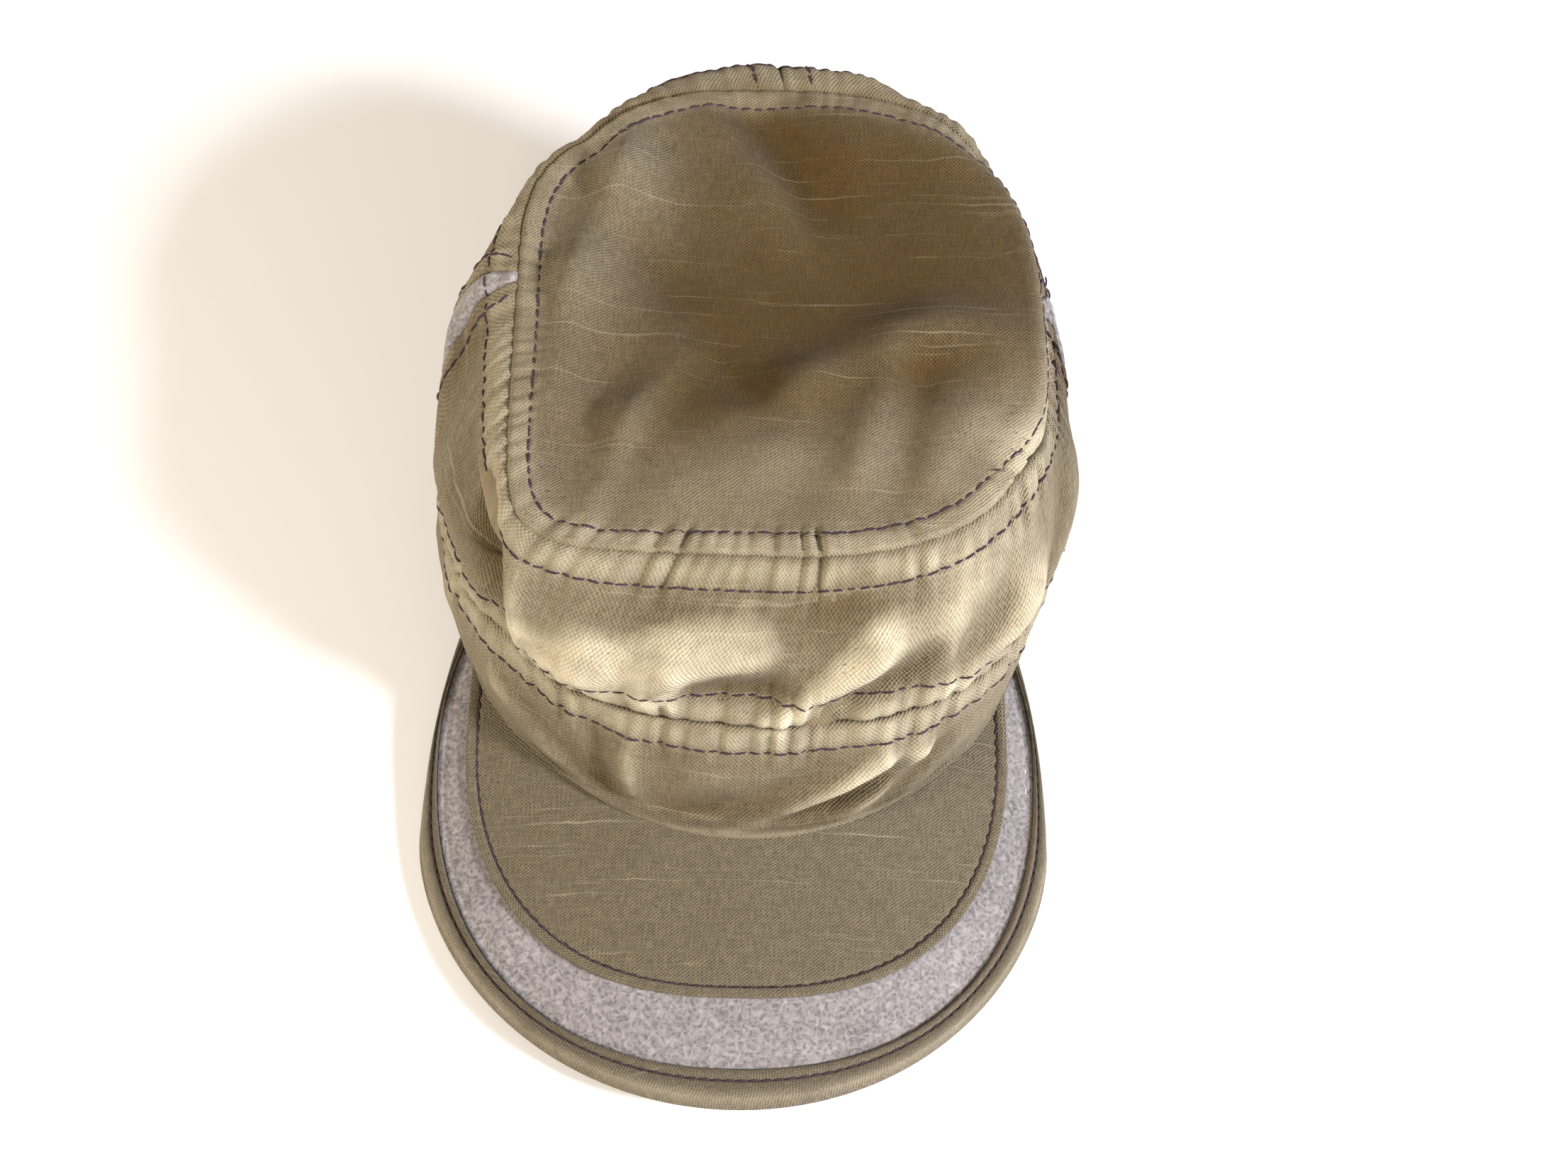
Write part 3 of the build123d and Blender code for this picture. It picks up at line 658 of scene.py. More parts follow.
    # Threads stand up by their own roundness.
    round_yarn = add(tree, MATH, {0: yarn, 1: 1.0}, operation="MULTIPLY")
    height = add(tree, MATH, {0: plain, 1: 0.35, 2: round_yarn}, operation="MULTIPLY_ADD")
    round_end = add(tree, MATH, {0: ends, 1: 0.5}, operation="MULTIPLY")
    height = add(tree, MATH, {0: height, 1: round_end}, operation="ADD")
    thick_yarn = add(tree, MATH, {0: slub_line, 1: 0.5 * slub}, operation="MULTIPLY")
    height = add(tree, MATH, {0: height, 1: thick_yarn}, operation="ADD")
    set_surface(tree, shader, colour, height, bump, 0.6)
    return made


def suede(name, deep, light):
    """Napped synthetic suede: matte, with short curled fibres that catch light in fine flecks."""
    made, tree, shader = new_material(name, 0.95, sheen=0.15)
    place = add(tree, COORDINATES).outputs["Object"]
    bend = add(tree, NOISE, {"Vector": place, "Scale": 260.0, "Detail": 2.0}).outputs["Color"]
    bent = add(tree, VECTOR_MATH, {0: bend, 1: (0.004, 0.004, 0.004), 2: place}, operation="MULTIPLY_ADD")
    nap = add(tree, NOISE, {"Vector": bent, "Scale": 1100.0, "Detail": 4.0, "Roughness": 0.7})
    curl = add(tree, "ShaderNodeTexVoronoi", {"Vector": bent, "Scale": 800.0}, feature="SMOOTH_F1")
    cloud = add(tree, NOISE, {"Vector": place, "Scale": 40.0, "Detail": 4.0})
    fine = add(tree, MATH, {0: nap, 1: 0.7}, operation="MULTIPLY")
    mixed = add(tree, MATH, {0: curl, 1: 0.5, 2: fine}, operation="MULTIPLY_ADD")
    centred = add(tree, MATH, {0: cloud, 1: 0.5}, operation="SUBTRACT")
    flecks = add(tree, RANGE, {0: mixed, 1: 0.35, 2: 0.85})
    tone = add(tree, MATH, {0: centred, 1: 0.5, 2: flecks}, operation="MULTIPLY_ADD", use_clamp=True)
    colour = add(tree, MIX, {0: tone, 6: linear(deep), 7: linear(light)}, data_type="RGBA")
    set_surface(tree, shader, colour, mixed, 0.55, 0.7)
    return made


def spun_thread(name, deep, light):
    """Spun polyester topstitching thread: fuzzy, banded by its plies, dull."""
    made, tree, shader = new_material(name, 0.8)
    place = add(tree, COORDINATES).outputs["Object"]
    ply = add(tree, NOISE, {"Vector": place, "Scale": 1400.0, "Detail": 2.0})
    cloud = add(tree, NOISE, {"Vector": place, "Scale": 60.0})
    band = add(tree, MATH, {0: ply, 1: 0.6}, operation="MULTIPLY")
    tone = add(tree, MATH, {0: cloud, 1: 0.5, 2: band}, operation="MULTIPLY_ADD", use_clamp=True)
    colour = add(tree, MIX, {0: tone, 6: linear(deep), 7: linear(light)}, data_type="RGBA")
    set_surface(tree, shader, colour, ply, 0.4, 0.4)
    return made


def twill(name, deep, light, pitch=1.1):
    """Cotton twill tape: fine slanting ribs, a pitch in mm apart, on a soft uneven ground."""
    made, tree, shader = new_material(name, 0.9, sheen=0.2)
    uv = add(tree, "ShaderNodeUVMap", uv_map="cloth_mm")
    split = add(tree, "ShaderNodeSeparateXYZ", {0: uv})
    slant = add(tree, MATH, {0: split.outputs[0], 1: split.outputs[1]}, operation="ADD")
    turns = add(tree, MATH, {0: slant, 1: 2 * math.pi / pitch}, operation="MULTIPLY")
    rib = add(tree, MATH, {0: turns}, operation="SINE")
    cloud = add(tree, NOISE, {"Vector": uv, "Scale": 0.25, "Detail": 4.0})
    tone = add(tree, MATH, {0: rib, 1: 0.18, 2: cloud}, operation="MULTIPLY_ADD", use_clamp=True)
    colour = add(tree, MIX, {0: tone, 6: linear(deep), 7: linear(light)}, data_type="RGBA")
    set_surface(tree, shader, colour, rib, 0.3, 0.5)
    return made


def brass(name, bright, dull):
    """Antique-finished brass: pressed sheet, brown in its grain and rubbed bright on top. The brushed
    grain is 0.19 mm apart."""
    made, tree, shader = new_material(name, 0.38, metallic=1.0)
    place = add(tree, COORDINATES).outputs["Object"]
    cloud = add(tree, NOISE, {"Vector": place, "Scale": 320.0, "Detail": 5.0})
    streak_at = add(tree, MAPPING, {0: place, 3: (300.0, 300.0, 5200.0)})
    streak = add(tree, NOISE, {"Vector": streak_at, "Scale": 1.0, "Detail": 3.0})
    streaked = add(tree, MATH, {0: streak, 1: 0.4, 2: cloud}, operation="MULTIPLY_ADD")
    tone = add(tree, RANGE, {0: streaked, 1: 0.5, 2: 0.95})
    colour = add(tree, MIX, {0: tone, 6: linear(dull), 7: linear(bright)}, data_type="RGBA")
    gloss = add(tree, RANGE, {0: cloud, 1: 1.6, 2: -0.4})
    tree.links.new(gloss.outputs[0], shader.inputs["Roughness"])
    set_surface(tree, shader, colour, streak, 0.12, 0.3)
    return made


def polyethylene(name, deep, light):
    """Moulded polyethylene board: milky, waxy and faintly mottled."""
    made, tree, shader = new_material(name, 0.5)
    place = add(tree, COORDINATES).outputs["Object"]
    mottle = add(tree, NOISE, {"Vector": place, "Scale": 300.0, "Detail": 3.0})
    colour = add(tree, MIX, {0: mottle, 6: linear(deep), 7: linear(light)}, data_type="RGBA")
    tree.links.new(colour.outputs[2], shader.inputs["Base Color"])
    return made


crown_cotton = woven("washed_slub_cotton", "#584218", "#91856B", "#DACEAF", slub=0.5)
visor_cotton = woven("washed_slub_cotton_visor", "#685D44", "#8A7F69", "#C6BA9C", slub=1.4)
bias_cotton = woven("bias_cut_cotton", "#62573F", "#8A7E69", "#C4B89C", turn=45.0)
grey_suede = suede("napped_grey_suede", "#605A58", "#A49E9B")
dark_thread = spun_thread("spun_thread_plum", "#251920", "#4E3C45")
tape_twill = twill("cotton_twill_tape", "#5A4C34", "#8C7C5C")
sweat_twill = twill("sweatband_twill", "#6A5A40", "#9C8B68", pitch=1.4)
label_satin = twill("blank_satin_ribbon", "#C9C2B0", "#E4DECF", pitch=0.8)
old_brass = brass("antique_brass", "#B59A66", "#6E5836")
board_white = polyethylene("moulded_polyethylene", "#D8D6CE", "#EFEDE6")


def finish_piece(piece, slot, *nodes, body="crown"):
    """Says which body a piece rides and hides the CAD nodes it stands for. The slot argument is not used."""
    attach(piece, body)
    if nodes:
        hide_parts(*nodes)
    return piece


# ---- Cloth tone: how faded and how rubbed each point is
def wall_tone(turn, v):
    """Faded in front and dark behind. Painted light on the sides towards the front and painted shade high on
    the front wall; painted shade in hollows and painted light on raised folds, which are also rubbed pale,
    partly as painted highlight. Rubbed pale along the seams and at the rim.
    """
    back = 0.5 + 0.5 * np.sin(np.radians(turn))
    side = smooth((abs(np.cos(np.radians(turn))) - 0.25) / 0.5) * smooth((0.62 - back) / 0.2)
    # The side term is painted light: the sides towards the front are made paler.
    fade_and_painted_shading = 0.68 - 0.34 * smooth((back - 0.42) / 0.35) + 0.28 * side
    # Painted shade: the front wall is darker high up under the top seam.
    fade_and_painted_shading = fade_and_painted_shading - 0.20 * smooth((v - 1.42) / 0.25) * (1 - side)
    near = np.exp(-(((2 - v) * TOP_STOREY - 3) / 3.5) ** 2) + np.exp(-((abs(v - 1) * STOREY - 3) / 3.2) ** 2)
    high = wall_relief(turn, v)
    # Raised folds are rubbed paler, most in front: partly wear and partly painted highlight.
    ridge = (0.29 - 0.22 * smooth((back - 0.42) / 0.35)) * np.clip(high - 1.2, 0, 2.6)
    rub_and_painted_highlight = 0.34 * near + 0.10 * np.maximum(pucker(turn * ARC, 3), 0) * near + 0.25 * np.exp(-((v / 0.05) ** 2))
    # The fold height adds painted shade in hollows and painted light on raised folds.
    return {"fade_and_painted_shading": fade_and_painted_shading + 0.10 * np.clip(high, -6, 2), "rub_and_painted_highlight": rub_and_painted_highlight + ridge}


def wall_panel(name, slot, node, material, turn_low, turn_high, v_low, v_high, step=0.85,
               tuck_low=False, tuck_high=False):
    """A panel of the wall: turns between two edges that may lean, heights between two lines. A tuck
    carries the cloth on past the seam."""
    v_mid = np.linspace(0, 1, max(int(STOREY / 0.7), 8))
    mean_span = abs(np.mean(turn_high) - np.mean(turn_low)) * ARC
    u = np.linspace(0, 1, max(int(mean_span / step), 6))
    lift, across = np.meshgrid(v_mid, u, indexing="ij")
    low_edge = turn_low[0] + (turn_low[1] - turn_low[0]) * lift
    high_edge = turn_high[0] + (turn_high[1] - turn_high[0]) * lift
    turn = low_edge + (high_edge - low_edge) * across
    bottom = v_low(turn) if callable(v_low) else np.full_like(turn, v_low)
    v = bottom + (v_high - bottom) * lift
    if tuck_high:
        turn, v = np.concatenate([turn, turn[-1:]]), np.concatenate([v, v[-1:] + 0.08])
    if tuck_low:
        turn, v = np.concatenate([turn[:1], turn]), np.concatenate([v[:1] - 0.05, v])
    tone = wall_tone(turn, np.clip(v, 0, 2))
    uv = np.stack([turn * ARC, v * STOREY], -1)
    piece = grid_piece(name, wall(turn, v), uv, material, CLOTH, extra=tone)
    return finish_piece(piece, slot, node)


LEFT, RIGHT = INSERT["left"], INSERT["right"]
wall_panel("front_upper_cloth", "crown_cloth", "front_upper_panel", crown_cotton,
           LEFT["front"], RIGHT["front"], 1.0, 2.0, tuck_high=True)
wall_panel("side_wedge_left", "grey_suede", "side_suede_insert_left", grey_suede,
           LEFT["back"], LEFT["front"], 1.0, 2.0, tuck_high=True)
wall_panel("side_wedge_right", "grey_suede", "side_suede_insert_right", grey_suede,
           RIGHT["front"], RIGHT["back"], 1.0, 2.0, tuck_high=True)
wall_panel("back_upper_cloth_right", "crown_cloth", "back_upper_panel_right", crown_cotton,
           tuple(t - 360 for t in RIGHT["back"]), (BACK_TURN, BACK_TURN), 1.0, 2.0, tuck_high=True)
wall_panel("back_upper_cloth_left", "crown_cloth", "back_upper_panel_left", crown_cotton,
           (BACK_TURN, BACK_TURN), LEFT["back"], 1.0, 2.0, tuck_high=True)

# The back opening's half width, the height where its arch springs, and its top.
OPEN_HALF, OPEN_SPRING, OPEN_TOP = 32.0, 12.0, 31.5
BAND_BACK_HEIGHT = 37.5


def opening_edge(turn):
    """Lower edge of the back band as a height share: the rim, or the arch over the opening."""
    base = wall_base(turn, np.full(np.shape(turn), 0.3))
    x = base[..., 0]
    inside = (abs(x) < OPEN_HALF) & (base[..., 1] > 0)
    arch = OPEN_SPRING + (OPEN_TOP - OPEN_SPRING) * np.sqrt(np.maximum(1 - (x / OPEN_HALF) ** 2, 0))
    return np.where(inside, (arch + 1.5) / BAND_BACK_HEIGHT, 0.0)


SIDE_TURN = turn_at(20.0, 0.5, False)
wall_panel("front_lower_cloth", "crown_cloth", "front_lower_band", crown_cotton,
           (SIDE_TURN, SIDE_TURN), (540 - SIDE_TURN, 540 - SIDE_TURN), 0.0, 1.0, tuck_low=True)
wall_panel("back_lower_cloth_left", "crown_cloth", "back_lower_band_left", crown_cotton,
           (BACK_TURN, BACK_TURN), (SIDE_TURN, SIDE_TURN), opening_edge, 1.0, step=0.6, tuck_low=True)
wall_panel("back_lower_cloth_right", "crown_cloth", "back_lower_band_right", crown_cotton,
           (180 - SIDE_TURN, 180 - SIDE_TURN), (BACK_TURN, BACK_TURN), opening_edge, 1.0, step=0.6,
           tuck_low=True)


def square_to_disc(count):
    """A square grid bent into a disc, x sqrt(1 - y^2/2) and y sqrt(1 - x^2/2), so it has no pole."""
    side = np.linspace(-1, 1, count)
    y, x = np.meshgrid(side, side, indexing="ij")
    return x * np.sqrt(1 - y * y / 2), y * np.sqrt(1 - x * x / 2)


def top_tone(p, share):
    """Dark brown in the sag with a spot of painted shade; painted light where the front, the left and the
    back left face the lamps, and a little paler by the right edge; painted shade in fold hollows and painted
    light on ridges; rubbed by the seam and at the front right corner.
    """
    nx, ny = (p[..., 0] - top_cx) / top_a, (p[..., 1] - top_cy) / top_b
    front = smooth((-(ny + 0.30 - 0.22 * nx)) / 0.40)
    left = smooth((-nx - 0.28) / 0.40)
    back_left = np.exp(-(((nx + 0.40) / 0.30) ** 2) - ((ny - 0.62) / 0.34) ** 2)
    # Painted light: paler in front of the crest, on the left strip and at the back left, where the top faces
    # the lamps.
    fade_and_painted_shading = 0.02 + 0.54 * np.maximum(front, left) + 0.22 * back_left + 0.10 * smooth((nx - 0.72) / 0.25)
    # Painted shade: a dark spot in the sag.
    dark = np.exp(-(((nx + 0.14) / 0.14) ** 2) - ((ny + 0.22) / 0.18) ** 2)
    high = np.maximum(share_relief(p), -4.0)
    d = (1 - share) * 75
    # The front share of the rub is painted light as well.
    rub_and_painted_highlight = 0.30 * np.exp(-(((d - 3) / 4.0) ** 2)) + 0.10 * front
    corner = np.exp(-(((nx - 0.93) / 0.16) ** 2) - ((ny + 0.62) / 0.22) ** 2)
    # The fold height adds painted shade in hollows and painted light on ridges.
    return {"fade_and_painted_shading": fade_and_painted_shading - 0.12 * dark + 0.035 * high, "rub_and_painted_highlight": rub_and_painted_highlight + 0.5 * corner}


def share_relief(p):
    """Height of the folds alone at points of the top."""
    x, y = p[..., 0] - top_cx, p[..., 1] - top_cy
    return sum(fold(x, y, f[0] * top_a, f[1] * top_b, f[2] * top_a, f[3] * top_b, *f[4:]) for f in TOP_FOLDS)


dx, dy = square_to_disc(190)
disc_turn, disc_share = np.degrees(np.arctan2(dy, dx)) % 360.0, np.hypot(dx, dy)
top_points = top_surface(disc_turn, disc_share)
top_cloth = grid_piece("top_cloth", top_points, top_points[..., :2].copy(), crown_cotton, CLOTH,
                       extra=top_tone(top_points, disc_share))
finish_piece(top_cloth, "crown_cloth", "crown_top_panel")


# ---- Visor
def front_arc(half_width, reach, y_widest, across, along, t):
    """A quarter superellipse pair: t from -1 at the left to 1 at the right, through the tip at 0."""
    a = np.pi / 2 * (1 - abs(t))
    x = np.sign(t) * half_width * np.cos(a) ** (2 / across)
    y = y_widest - reach * np.sin(a) ** (2 / along)
    return x, y


def visor_line(half_width, reach, y_widest, across, along, taper, count=260, ear_y=-42.0):
    """A line round the visor, from the left ear through the tip to the right ear, evenly spaced."""
    t = np.sin(np.linspace(-1, 1, 600) * np.pi / 2)
    x, y = front_arc(half_width, reach, y_widest, across, along, t)
    s = np.linspace(0, 1, 60)[1:]
    sx, sy = half_width - taper * s**2, y_widest + (ear_y - y_widest) * s
    line = np.stack([np.r_[-sx[::-1], x, sx], np.r_[sy[::-1], y, sy]], -1)
    along_line = np.r_[0, np.cumsum(np.linalg.norm(np.diff(line, axis=0), axis=1))]
    want = np.linspace(0, along_line[-1], count)
    return np.stack([np.interp(want, along_line, line[:, k]) for k in (0, 1)], -1)


outer_line = visor_line(VISOR_HALF, -VISOR_TIP - 100, -100.0, 2.03, 1.75, 7.5)
bind_line = visor_line(87.2, 92.5, -76.0, 2.25, 2.3, 7.0)
panel_line = visor_line(78.5, 78.0, -71.0, 2.45, 2.25, 1.0)
root_turn = np.linspace(205, 335, len(panel_line))
root_rim = wall_base(root_turn, np.zeros(len(root_turn)))
root_line = root_rim[:, :2] * 0.93


def visor_points(xy, height):
    """Points of the visor's surface over a plan position, with a slight unevenness."""
    soft = 0.10 * ripple(xy[..., 0], xy[..., 1], 38, 31) + 0.03 * ripple(xy[..., 0], xy[..., 1], 9, 32)
    return np.concatenate([xy, visor_z(xy[..., 0], xy[..., 1], height + soft)[..., None]], -1)


def moved_in(line, distance):
    """A visor line moved towards the middle of the visor, square to itself."""
    run = np.gradient(line, axis=0)
    run /= np.linalg.norm(run, axis=1, keepdims=True)
    return line + np.stack([-run[:, 1], run[:, 0]], -1) * distance


def between_lines(a, b, shares):
    """Lines at given shares of the way from one line to another."""
    return a[None] + (b - a)[None] * np.asarray(shares)[:, None, None]


def visor_sheet(name, slot, node, material, a, b, height, rows=60, tone=0.6, thick=0.8, flip=False):
    """A sheet between two lines of the visor, with a shallow seam dip along line a."""
    shares = np.linspace(0, 1, rows)
    xy = between_lines(a, b, shares)
    gap = np.linalg.norm(xy - xy[:1], axis=-1)
    lift = height - 0.45 * np.exp(-((gap - 2.5) / 0.7) ** 2)
    lift = lift + 0.10 * np.exp(-((gap / 7) ** 2)) * pucker(np.arange(len(a))[None] * 1.3, 8)
    p = visor_points(xy, lift)
    extra = {"fade_and_painted_shading": np.full(gap.shape, tone), "rub_and_painted_highlight": 0.10 * np.exp(-((gap / 3) ** 2))}
    piece = grid_piece(name, p, p[..., :2].copy(), material, thick, flip=flip, extra=extra)
    return finish_piece(piece, slot, node)


visor_sheet("visor_cloth_panel", "visor_cloth", "visor_top_panel", visor_cotton,
            panel_line, root_line, 0.0, rows=90, tone=0.55)
visor_sheet("visor_suede", "grey_suede", "visor_suede_band", grey_suede,
            bind_line, panel_line, -0.1, rows=24)
visor_sheet("visor_under_cloth", "visor_cloth", "visor_under_cover", visor_cotton,
            bind_line, root_line, -VISOR_THICK, rows=80, tone=0.35, thick=0.6, flip=True)

pipe_path = visor_points(moved_in(panel_line, 0.9)[8:-8], 0.35)
up = np.tile([0.0, 0.0, 1.0], (len(pipe_path), 1))
piping = carried_profile("visor_rolled_edge", pipe_path, up, rounded_bar(2.9, 1.3, 16, 2.6), visor_cotton)
finish_piece(piping, "visor_cloth", "visor_panel_piping")


def binding_profile(q):
    """Across the binding: share of the way out, and height over the top cloth. An inner rolled lane, a
    stitched groove, an outer lane that goes round the edge, and a return under the visor."""
    outward_share = np.where(q < 0.62, q / 0.62, 1 - (q - 0.70) / 0.30 * 0.55)
    rounding = 1 + 0.06 * np.sin((q - 0.62) / 0.08 * np.pi)
    outward_share = np.where((q >= 0.62) & (q <= 0.70), rounding, outward_share)
    inner = 1.7 * np.sqrt(np.maximum(np.sin(np.clip(q / 0.20, 0, 1) * np.pi), 0))
    outer = 1.15 * np.sqrt(np.maximum(np.sin(np.clip((q - 0.21) / 0.47, 0, 1) * np.pi), 0)) ** 0.8
    top_height = np.where(q < 0.205, inner, outer) - 0.05 - 0.55 * np.exp(-(((q - 0.207) / 0.02) ** 2))
    turn_down = smooth((q - 0.50) / 0.20)
    return outward_share, top_height * (1 - turn_down) - turn_down * (VISOR_THICK + 0.75)


lane = np.linspace(0, 1, 44)
out_share, lane_height = binding_profile(lane)
bind_xy = bind_line[None] + (outer_line - bind_line)[None] * out_share[:, None, None]
bind_run = np.arange(len(bind_line)) * 1.35
bind_wave = 0.12 * pucker(bind_run, 9)[None] * np.exp(-((lane[:, None] - 0.25) / 0.2) ** 2)
bind_points = visor_points(bind_xy, lane_height[:, None] + bind_wave)
bind_points[..., 2] = np.maximum(bind_points[..., 2], 0.2)
bind_uv = np.stack(np.broadcast_arrays(bind_run[None], lane[:, None] * 26), -1)
bind_rub = 0.35 * np.exp(-((lane[:, None] - 0.5) / 0.1) ** 2) * np.ones(len(bind_line))
bind_tone = {"fade_and_painted_shading": np.full(bind_rub.shape, 0.6), "rub_and_painted_highlight": bind_rub}
binding = grid_piece("visor_edge_tape", bind_points, bind_uv, bias_cotton, 0.5, flip=True, extra=bind_tone)
finish_piece(binding, "visor_cloth", "visor_edge_binding")


# ---- Inside: sweatband, tapes and label
def lining_strip(name, slot, node, material, turns, v_low, v_high, inset, thick=0.6, wrap=False, room=0.0):
    """A strip inside the wall: the plain wall moved in by an inset, its face towards the head. Behind,
    it moves in by some more room, for the strap."""
    t, v = np.meshgrid(turns, np.linspace(v_low, v_high, 14))
    behind = room * smooth((np.sin(np.radians(t)) - 0.45) / 0.25)
    depth = inset + behind + 0.25 * waves(t * ARC, (17.0, 29.0, 47.0), 15)
    p = wall_base(t, v) - outward(t, v) * depth[..., None]
    p[..., 2] = np.maximum(p[..., 2], 0.8)
    uv = np.stack([t * ARC, v * STOREY], -1)
    piece = grid_piece(name, p, uv, material, thick, flip=True, wrap=wrap)
    return finish_piece(piece, slot, node)


around = np.arange(0, 360, 1.5)
lining_strip("head_band", "sweatband_cloth", "sweatband", sweat_twill, np.arange(122, 419, 1.5),
             0.06, 0.78, 6.4, 0.8, room=4.0)
lining_strip("middle_tape", "seam_tape", "middle_seam_tape", tape_twill, around, 0.86, 1.16, 2.6, wrap=True)
lining_strip("top_tape", "seam_tape", "top_seam_tape", tape_twill, around, 1.76, 1.93, 2.6, wrap=True)
lining_strip("back_tape", "seam_tape", "centre_back_seam_tape", tape_twill,
             np.linspace(83, 97, 10), 1.16, 1.76, 2.8)
lining_strip("blank_label", "label_ribbon", "size_label", label_satin,
             np.linspace(150, 164, 10), 0.35, 0.72, 7.8, 0.4)

# ---- Back opening and adjuster
leg = np.linspace(0.8, OPEN_SPRING, 10)[:-1]
sweep = np.linspace(np.pi, 0, 60)
arch_x = np.r_[np.full(len(leg), -OPEN_HALF), OPEN_HALF * np.cos(sweep), np.full(len(leg), OPEN_HALF)] * 1.03
arch_z = np.r_[leg, OPEN_SPRING + (OPEN_TOP - OPEN_SPRING) * np.sin(sweep), leg[::-1]]


def on_back_wall(x, z):
    """Points of the plain back wall at given X and Z, found by a few corrections."""
    turn, v = 90 - x / 1.7, z / BAND_BACK_HEIGHT
    for _ in range(12):
        p = wall_base(turn, v)
        turn, v = turn + (p[..., 0] - x) / 1.9, v + (z - p[..., 2]) / BAND_BACK_HEIGHT
    return wall_base(turn, v), outward(turn, v)


hoop, hoop_out = on_back_wall(arch_x, arch_z)
hoop_profile = rounded_bar(3.6, 2.2, 16, 3.0)
hoop_piece = carried_profile("opening_hoop", hoop - hoop_out * 0.2, hoop_out, hoop_profile, bias_cotton)
finish_piece(hoop_piece, "visor_cloth", "back_opening_binding")
stitch_row(hoop + hoop_out * 0.9, hoop_out, 3.6, 2.8, 0.28)

# The strap and the clasp's tab lie on arcs about an upright line at this Y.
STRAP_CENTRE = 12.7
STRAP_RADIUS = 87.8
ANCHOR_RADIUS = 84.6
strap_low, strap_high = span(2, "adjuster_strap")
strap_half = span(0, "adjuster_strap")[1]


def strap_arc(radius, x_low, x_high, z, count=90):
    """Points and outward directions along an arc round the strap's centre."""
    a = np.linspace(math.asin(x_low / radius), math.asin(x_high / radius), count)
    out = np.stack([np.sin(a), np.cos(a), np.zeros(count)], -1)
    return out * radius + [0, STRAP_CENTRE, z], out


mid_z = (strap_low + strap_high) / 2
centre, out = strap_arc(STRAP_RADIUS, -strap_half + 0.4, strap_half - 0.4, mid_z)
strap_profile = rounded_bar(strap_high - strap_low, 1.5, 28, 7.0)
strap_bar = carried_profile("back_strap", centre, out, strap_profile, bias_cotton)
finish_piece(strap_bar, "visor_cloth", "adjuster_strap", body="strap")
anchor, anchor_out = strap_arc(ANCHOR_RADIUS, -44.0, -16.3, mid_z, 30)
anchor_bar = carried_profile("clasp_tab", anchor, anchor_out, rounded_bar(11.6, 0.9, 20, 6.0), bias_cotton)
finish_piece(anchor_bar, "visor_cloth", "clasp_anchor_loop")


def paint(node, material):
    """A CAD node keeps its shape and gets a material."""
    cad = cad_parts[node]
    cad.data.materials.clear()
    cad.data.materials.append(material)


for node in ("clasp_frame", "clasp_hinge_pin", "clasp_lever"):
    paint(node, old_brass)
paint("visor_board", board_white)


# ---- Stitching
def wall_row(turn_low, turn_high, v, **more):
    """Stitches round the wall at one height share."""
    t = np.linspace(turn_low, turn_high, int(abs(turn_high - turn_low) * 2) + 3)
    share = np.full(len(t), v)
    stitch_row(wall(t, share), outward(t, share), **more)


def top_row(turn_low, turn_high, d, **more):
    """Stitches round the top at a distance from its seam."""
    t = np.linspace(turn_low, turn_high, int(abs(turn_high - turn_low) * 3) + 3)
    share = 1 - d / (top_edge(t)[0] * SQUARE)
    stitch_row(top_surface(t, share), np.tile([0, 0, 1.0], (len(t), 1)), **more)


top_row(0, 360, ROW)
wall_row(0, 360, 2 - ROW / TOP_STOREY)
wall_row(0, 360, 1 + ROW / STOREY)
wall_row(106, 434, 1 - ROW / STOREY)
wall_row(112, SIDE_TURN, 0.15, pitch=3.8, length=3.0)
wall_row(180 - SIDE_TURN, 68, 0.15, pitch=3.8, length=3.0)


def leaning_row(low, high, shift, v_low=1.02, v_high=1.97):
    """A row beside a seam that leans: turns at the middle seam and the top seam, moved by a shift in mm."""
    lift = np.linspace(0, 1, 60)
    t = low + (high - low) * lift + shift / ARC
    v = v_low + (v_high - v_low) * lift
    stitch_row(wall(t, v), outward(t, v))


leaning_row(*LEFT["front"], 5.0)
leaning_row(*RIGHT["front"], -5.0)
leaning_row(*LEFT["back"], -5.0)
leaning_row(*RIGHT["back"], 5.0)
leaning_row(BACK_TURN, BACK_TURN, 9.5)
leaning_row(BACK_TURN, BACK_TURN, -9.5)
crown_rows = build_stitches("crown_stitching", dark_thread)
finish_piece(crown_rows, None)

ditch_points = visor_points(moved_in(panel_line, 2.55)[10:-10], 0.0)
stitch_row(ditch_points, np.tile([0, 0, 1.0], (len(ditch_points), 1)), 3.6, 3.3, 0.30)
groove_points = visor_points(between_lines(bind_line, outer_line, [0.335])[0], 0.25)
stitch_row(groove_points, np.tile([0, 0, 1.0], (len(groove_points), 1)), 3.4, 3.1, 0.30)
visor_rows = build_stitches("visor_stitching", dark_thread)
finish_piece(visor_rows, None)

for z in (strap_low + 2.2, strap_high - 2.2):
    row, row_out = strap_arc(STRAP_RADIUS + 0.7, -strap_half + 2, strap_half - 2, z)
    stitch_row(row, row_out, 3.4, 2.7, 0.26)
strap_rows = build_stitches("strap_stitching", dark_thread)
finish_piece(strap_rows, None, body="strap")

# ---- Stage, light and camera
floor_mesh = bpy.data.meshes.new("floor")
floor_mesh.from_pydata([(-3, -3, 0), (3, -3, 0), (3, 3, 0), (-3, 3, 0)], [], [(0, 1, 2, 3)])
floor = collection_add(floor_mesh, "floor")
# Matte paper: plain, near white and without shine.
paper, _, paper_shader = new_material("matte_paper", 0.9)
paper_shader.inputs["Base Color"].default_value = linear("#F6F5F3")
floor_mesh.materials.append(paper)


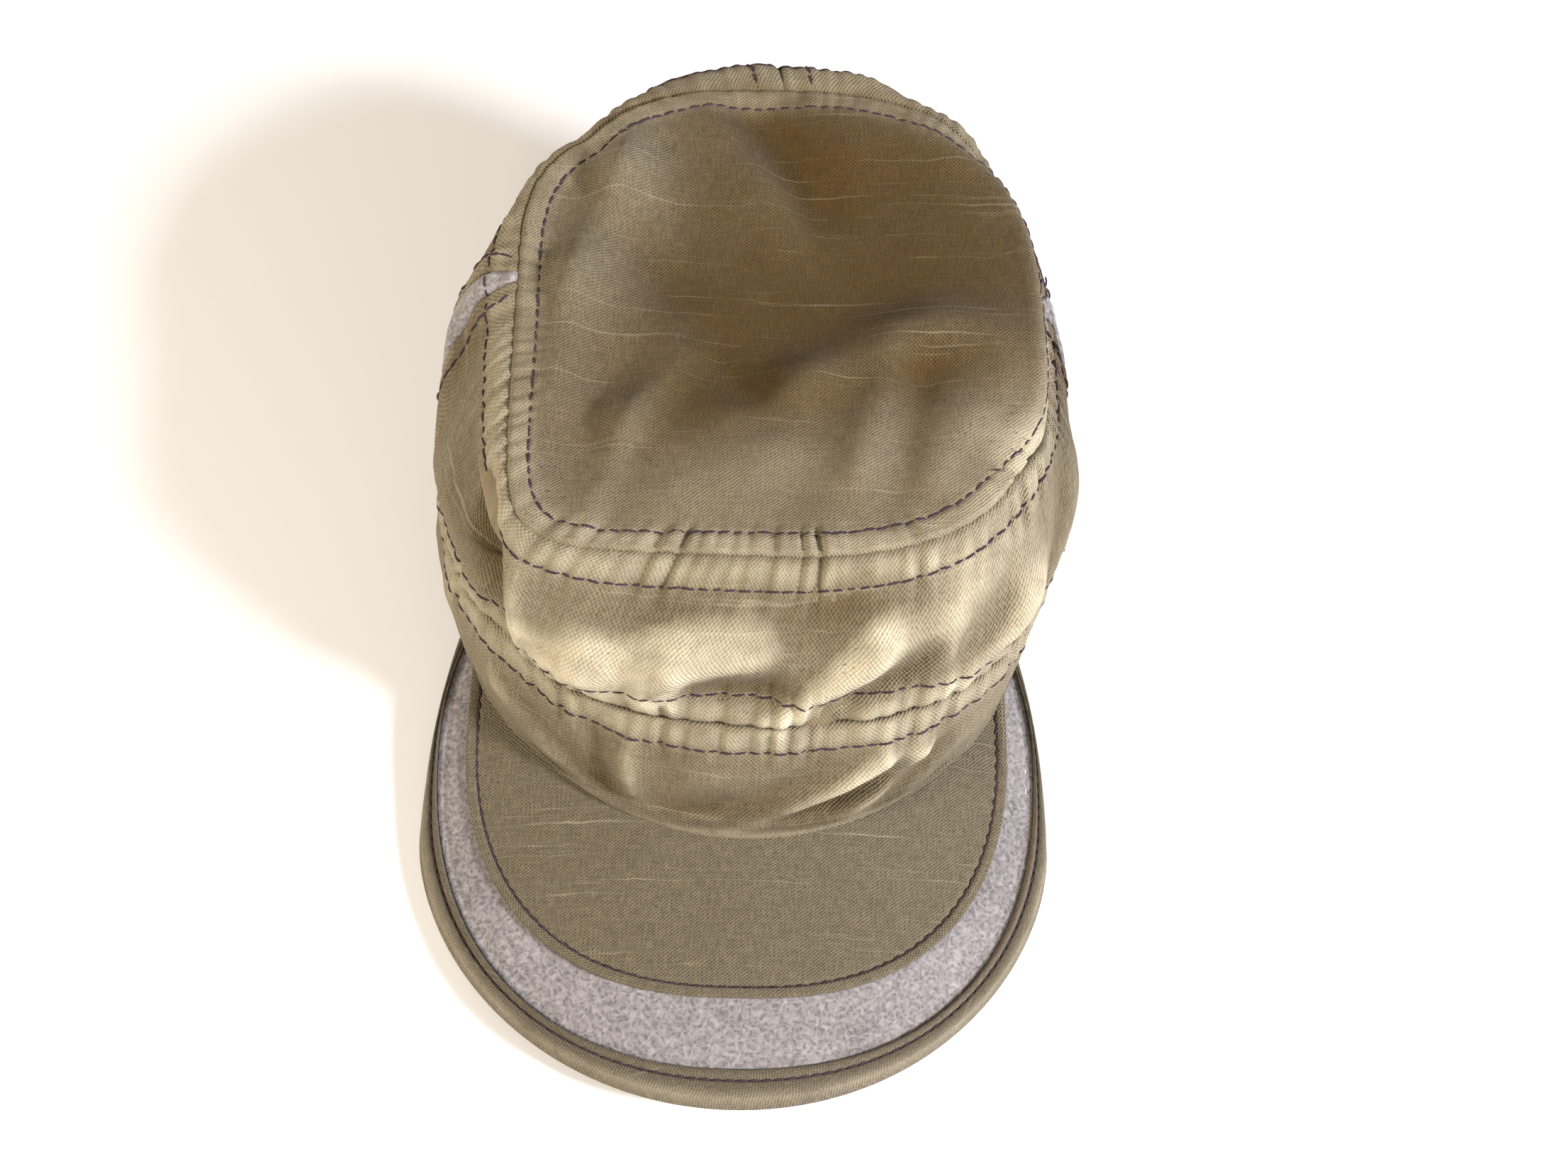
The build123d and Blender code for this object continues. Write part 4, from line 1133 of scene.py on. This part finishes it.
def area_light(name, place, target, size, power, colour="#FFFFFF"):
    """A soft box light, aimed at a target."""
    lamp = bpy.data.lights.new(name, "AREA")
    lamp.shape = "RECTANGLE"
    lamp.size, lamp.size_y = size
    lamp.energy = power
    lamp.color = linear(colour)[:3]
    made = bpy.data.objects.new(name, lamp)
    bpy.context.scene.collection.objects.link(made)
    made.location = place
    made.rotation_euler = (Vector(target) - Vector(place)).to_track_quat("-Z", "Y").to_euler()
    return made


area_light("window_right", (1.20, -0.45, 0.78), (0, 0, 0.04), (0.35, 0.30), 44, "#F4F5FF")
area_light("window_left", (-1.15, -0.35, 0.72), (0, 0, 0.04), (0.5, 0.4), 17, "#FFF3E4")
area_light("front_light", (-0.35, -1.25, 0.70), (0, 0, 0.04), (0.3, 0.2), 6, "#FFF6EA")
world = bpy.data.worlds.new("studio")
world.use_nodes = True
studio_fill = world.node_tree.nodes["Background"]
studio_fill.inputs["Color"].default_value = linear("#FFFAF0")
studio_fill.inputs["Strength"].default_value = 0.30
bpy.context.scene.world = world
bpy.context.scene.view_settings.view_transform = "Standard"

# The camera looks steeply down over the visor, a little turned in its own plane.
AZIMUTH, ELEVATION, DISTANCE, ROLL = -8.05, 63.2, 0.6244, 8.99
LENS_MM = 48.82
AIM = Vector((0.0119, -0.0307, 0.030))
azimuth, elevation, roll = (math.radians(a) for a in (AZIMUTH, ELEVATION, ROLL))
ahead = Vector((math.sin(azimuth), -math.cos(azimuth), 0))
back = ahead * math.cos(elevation) + Vector((0, 0, math.sin(elevation)))
flat_right = Vector((math.cos(azimuth), math.sin(azimuth), 0))
flat_up = back.cross(flat_right)
right = flat_right * math.cos(roll) + flat_up * math.sin(roll)
upward = flat_up * math.cos(roll) - flat_right * math.sin(roll)
lens = bpy.data.cameras.new("camera")
lens.lens = LENS_MM
lens.sensor_width = 36.0
lens.clip_start = 0.01
camera = bpy.data.objects.new("camera", lens)
bpy.context.scene.collection.objects.link(camera)
turned = Matrix((right, upward, back)).transposed().to_4x4()
camera.matrix_world = Matrix.Translation(AIM + back * DISTANCE) @ turned
bpy.context.scene.camera = camera

bpy.context.view_layer.update()
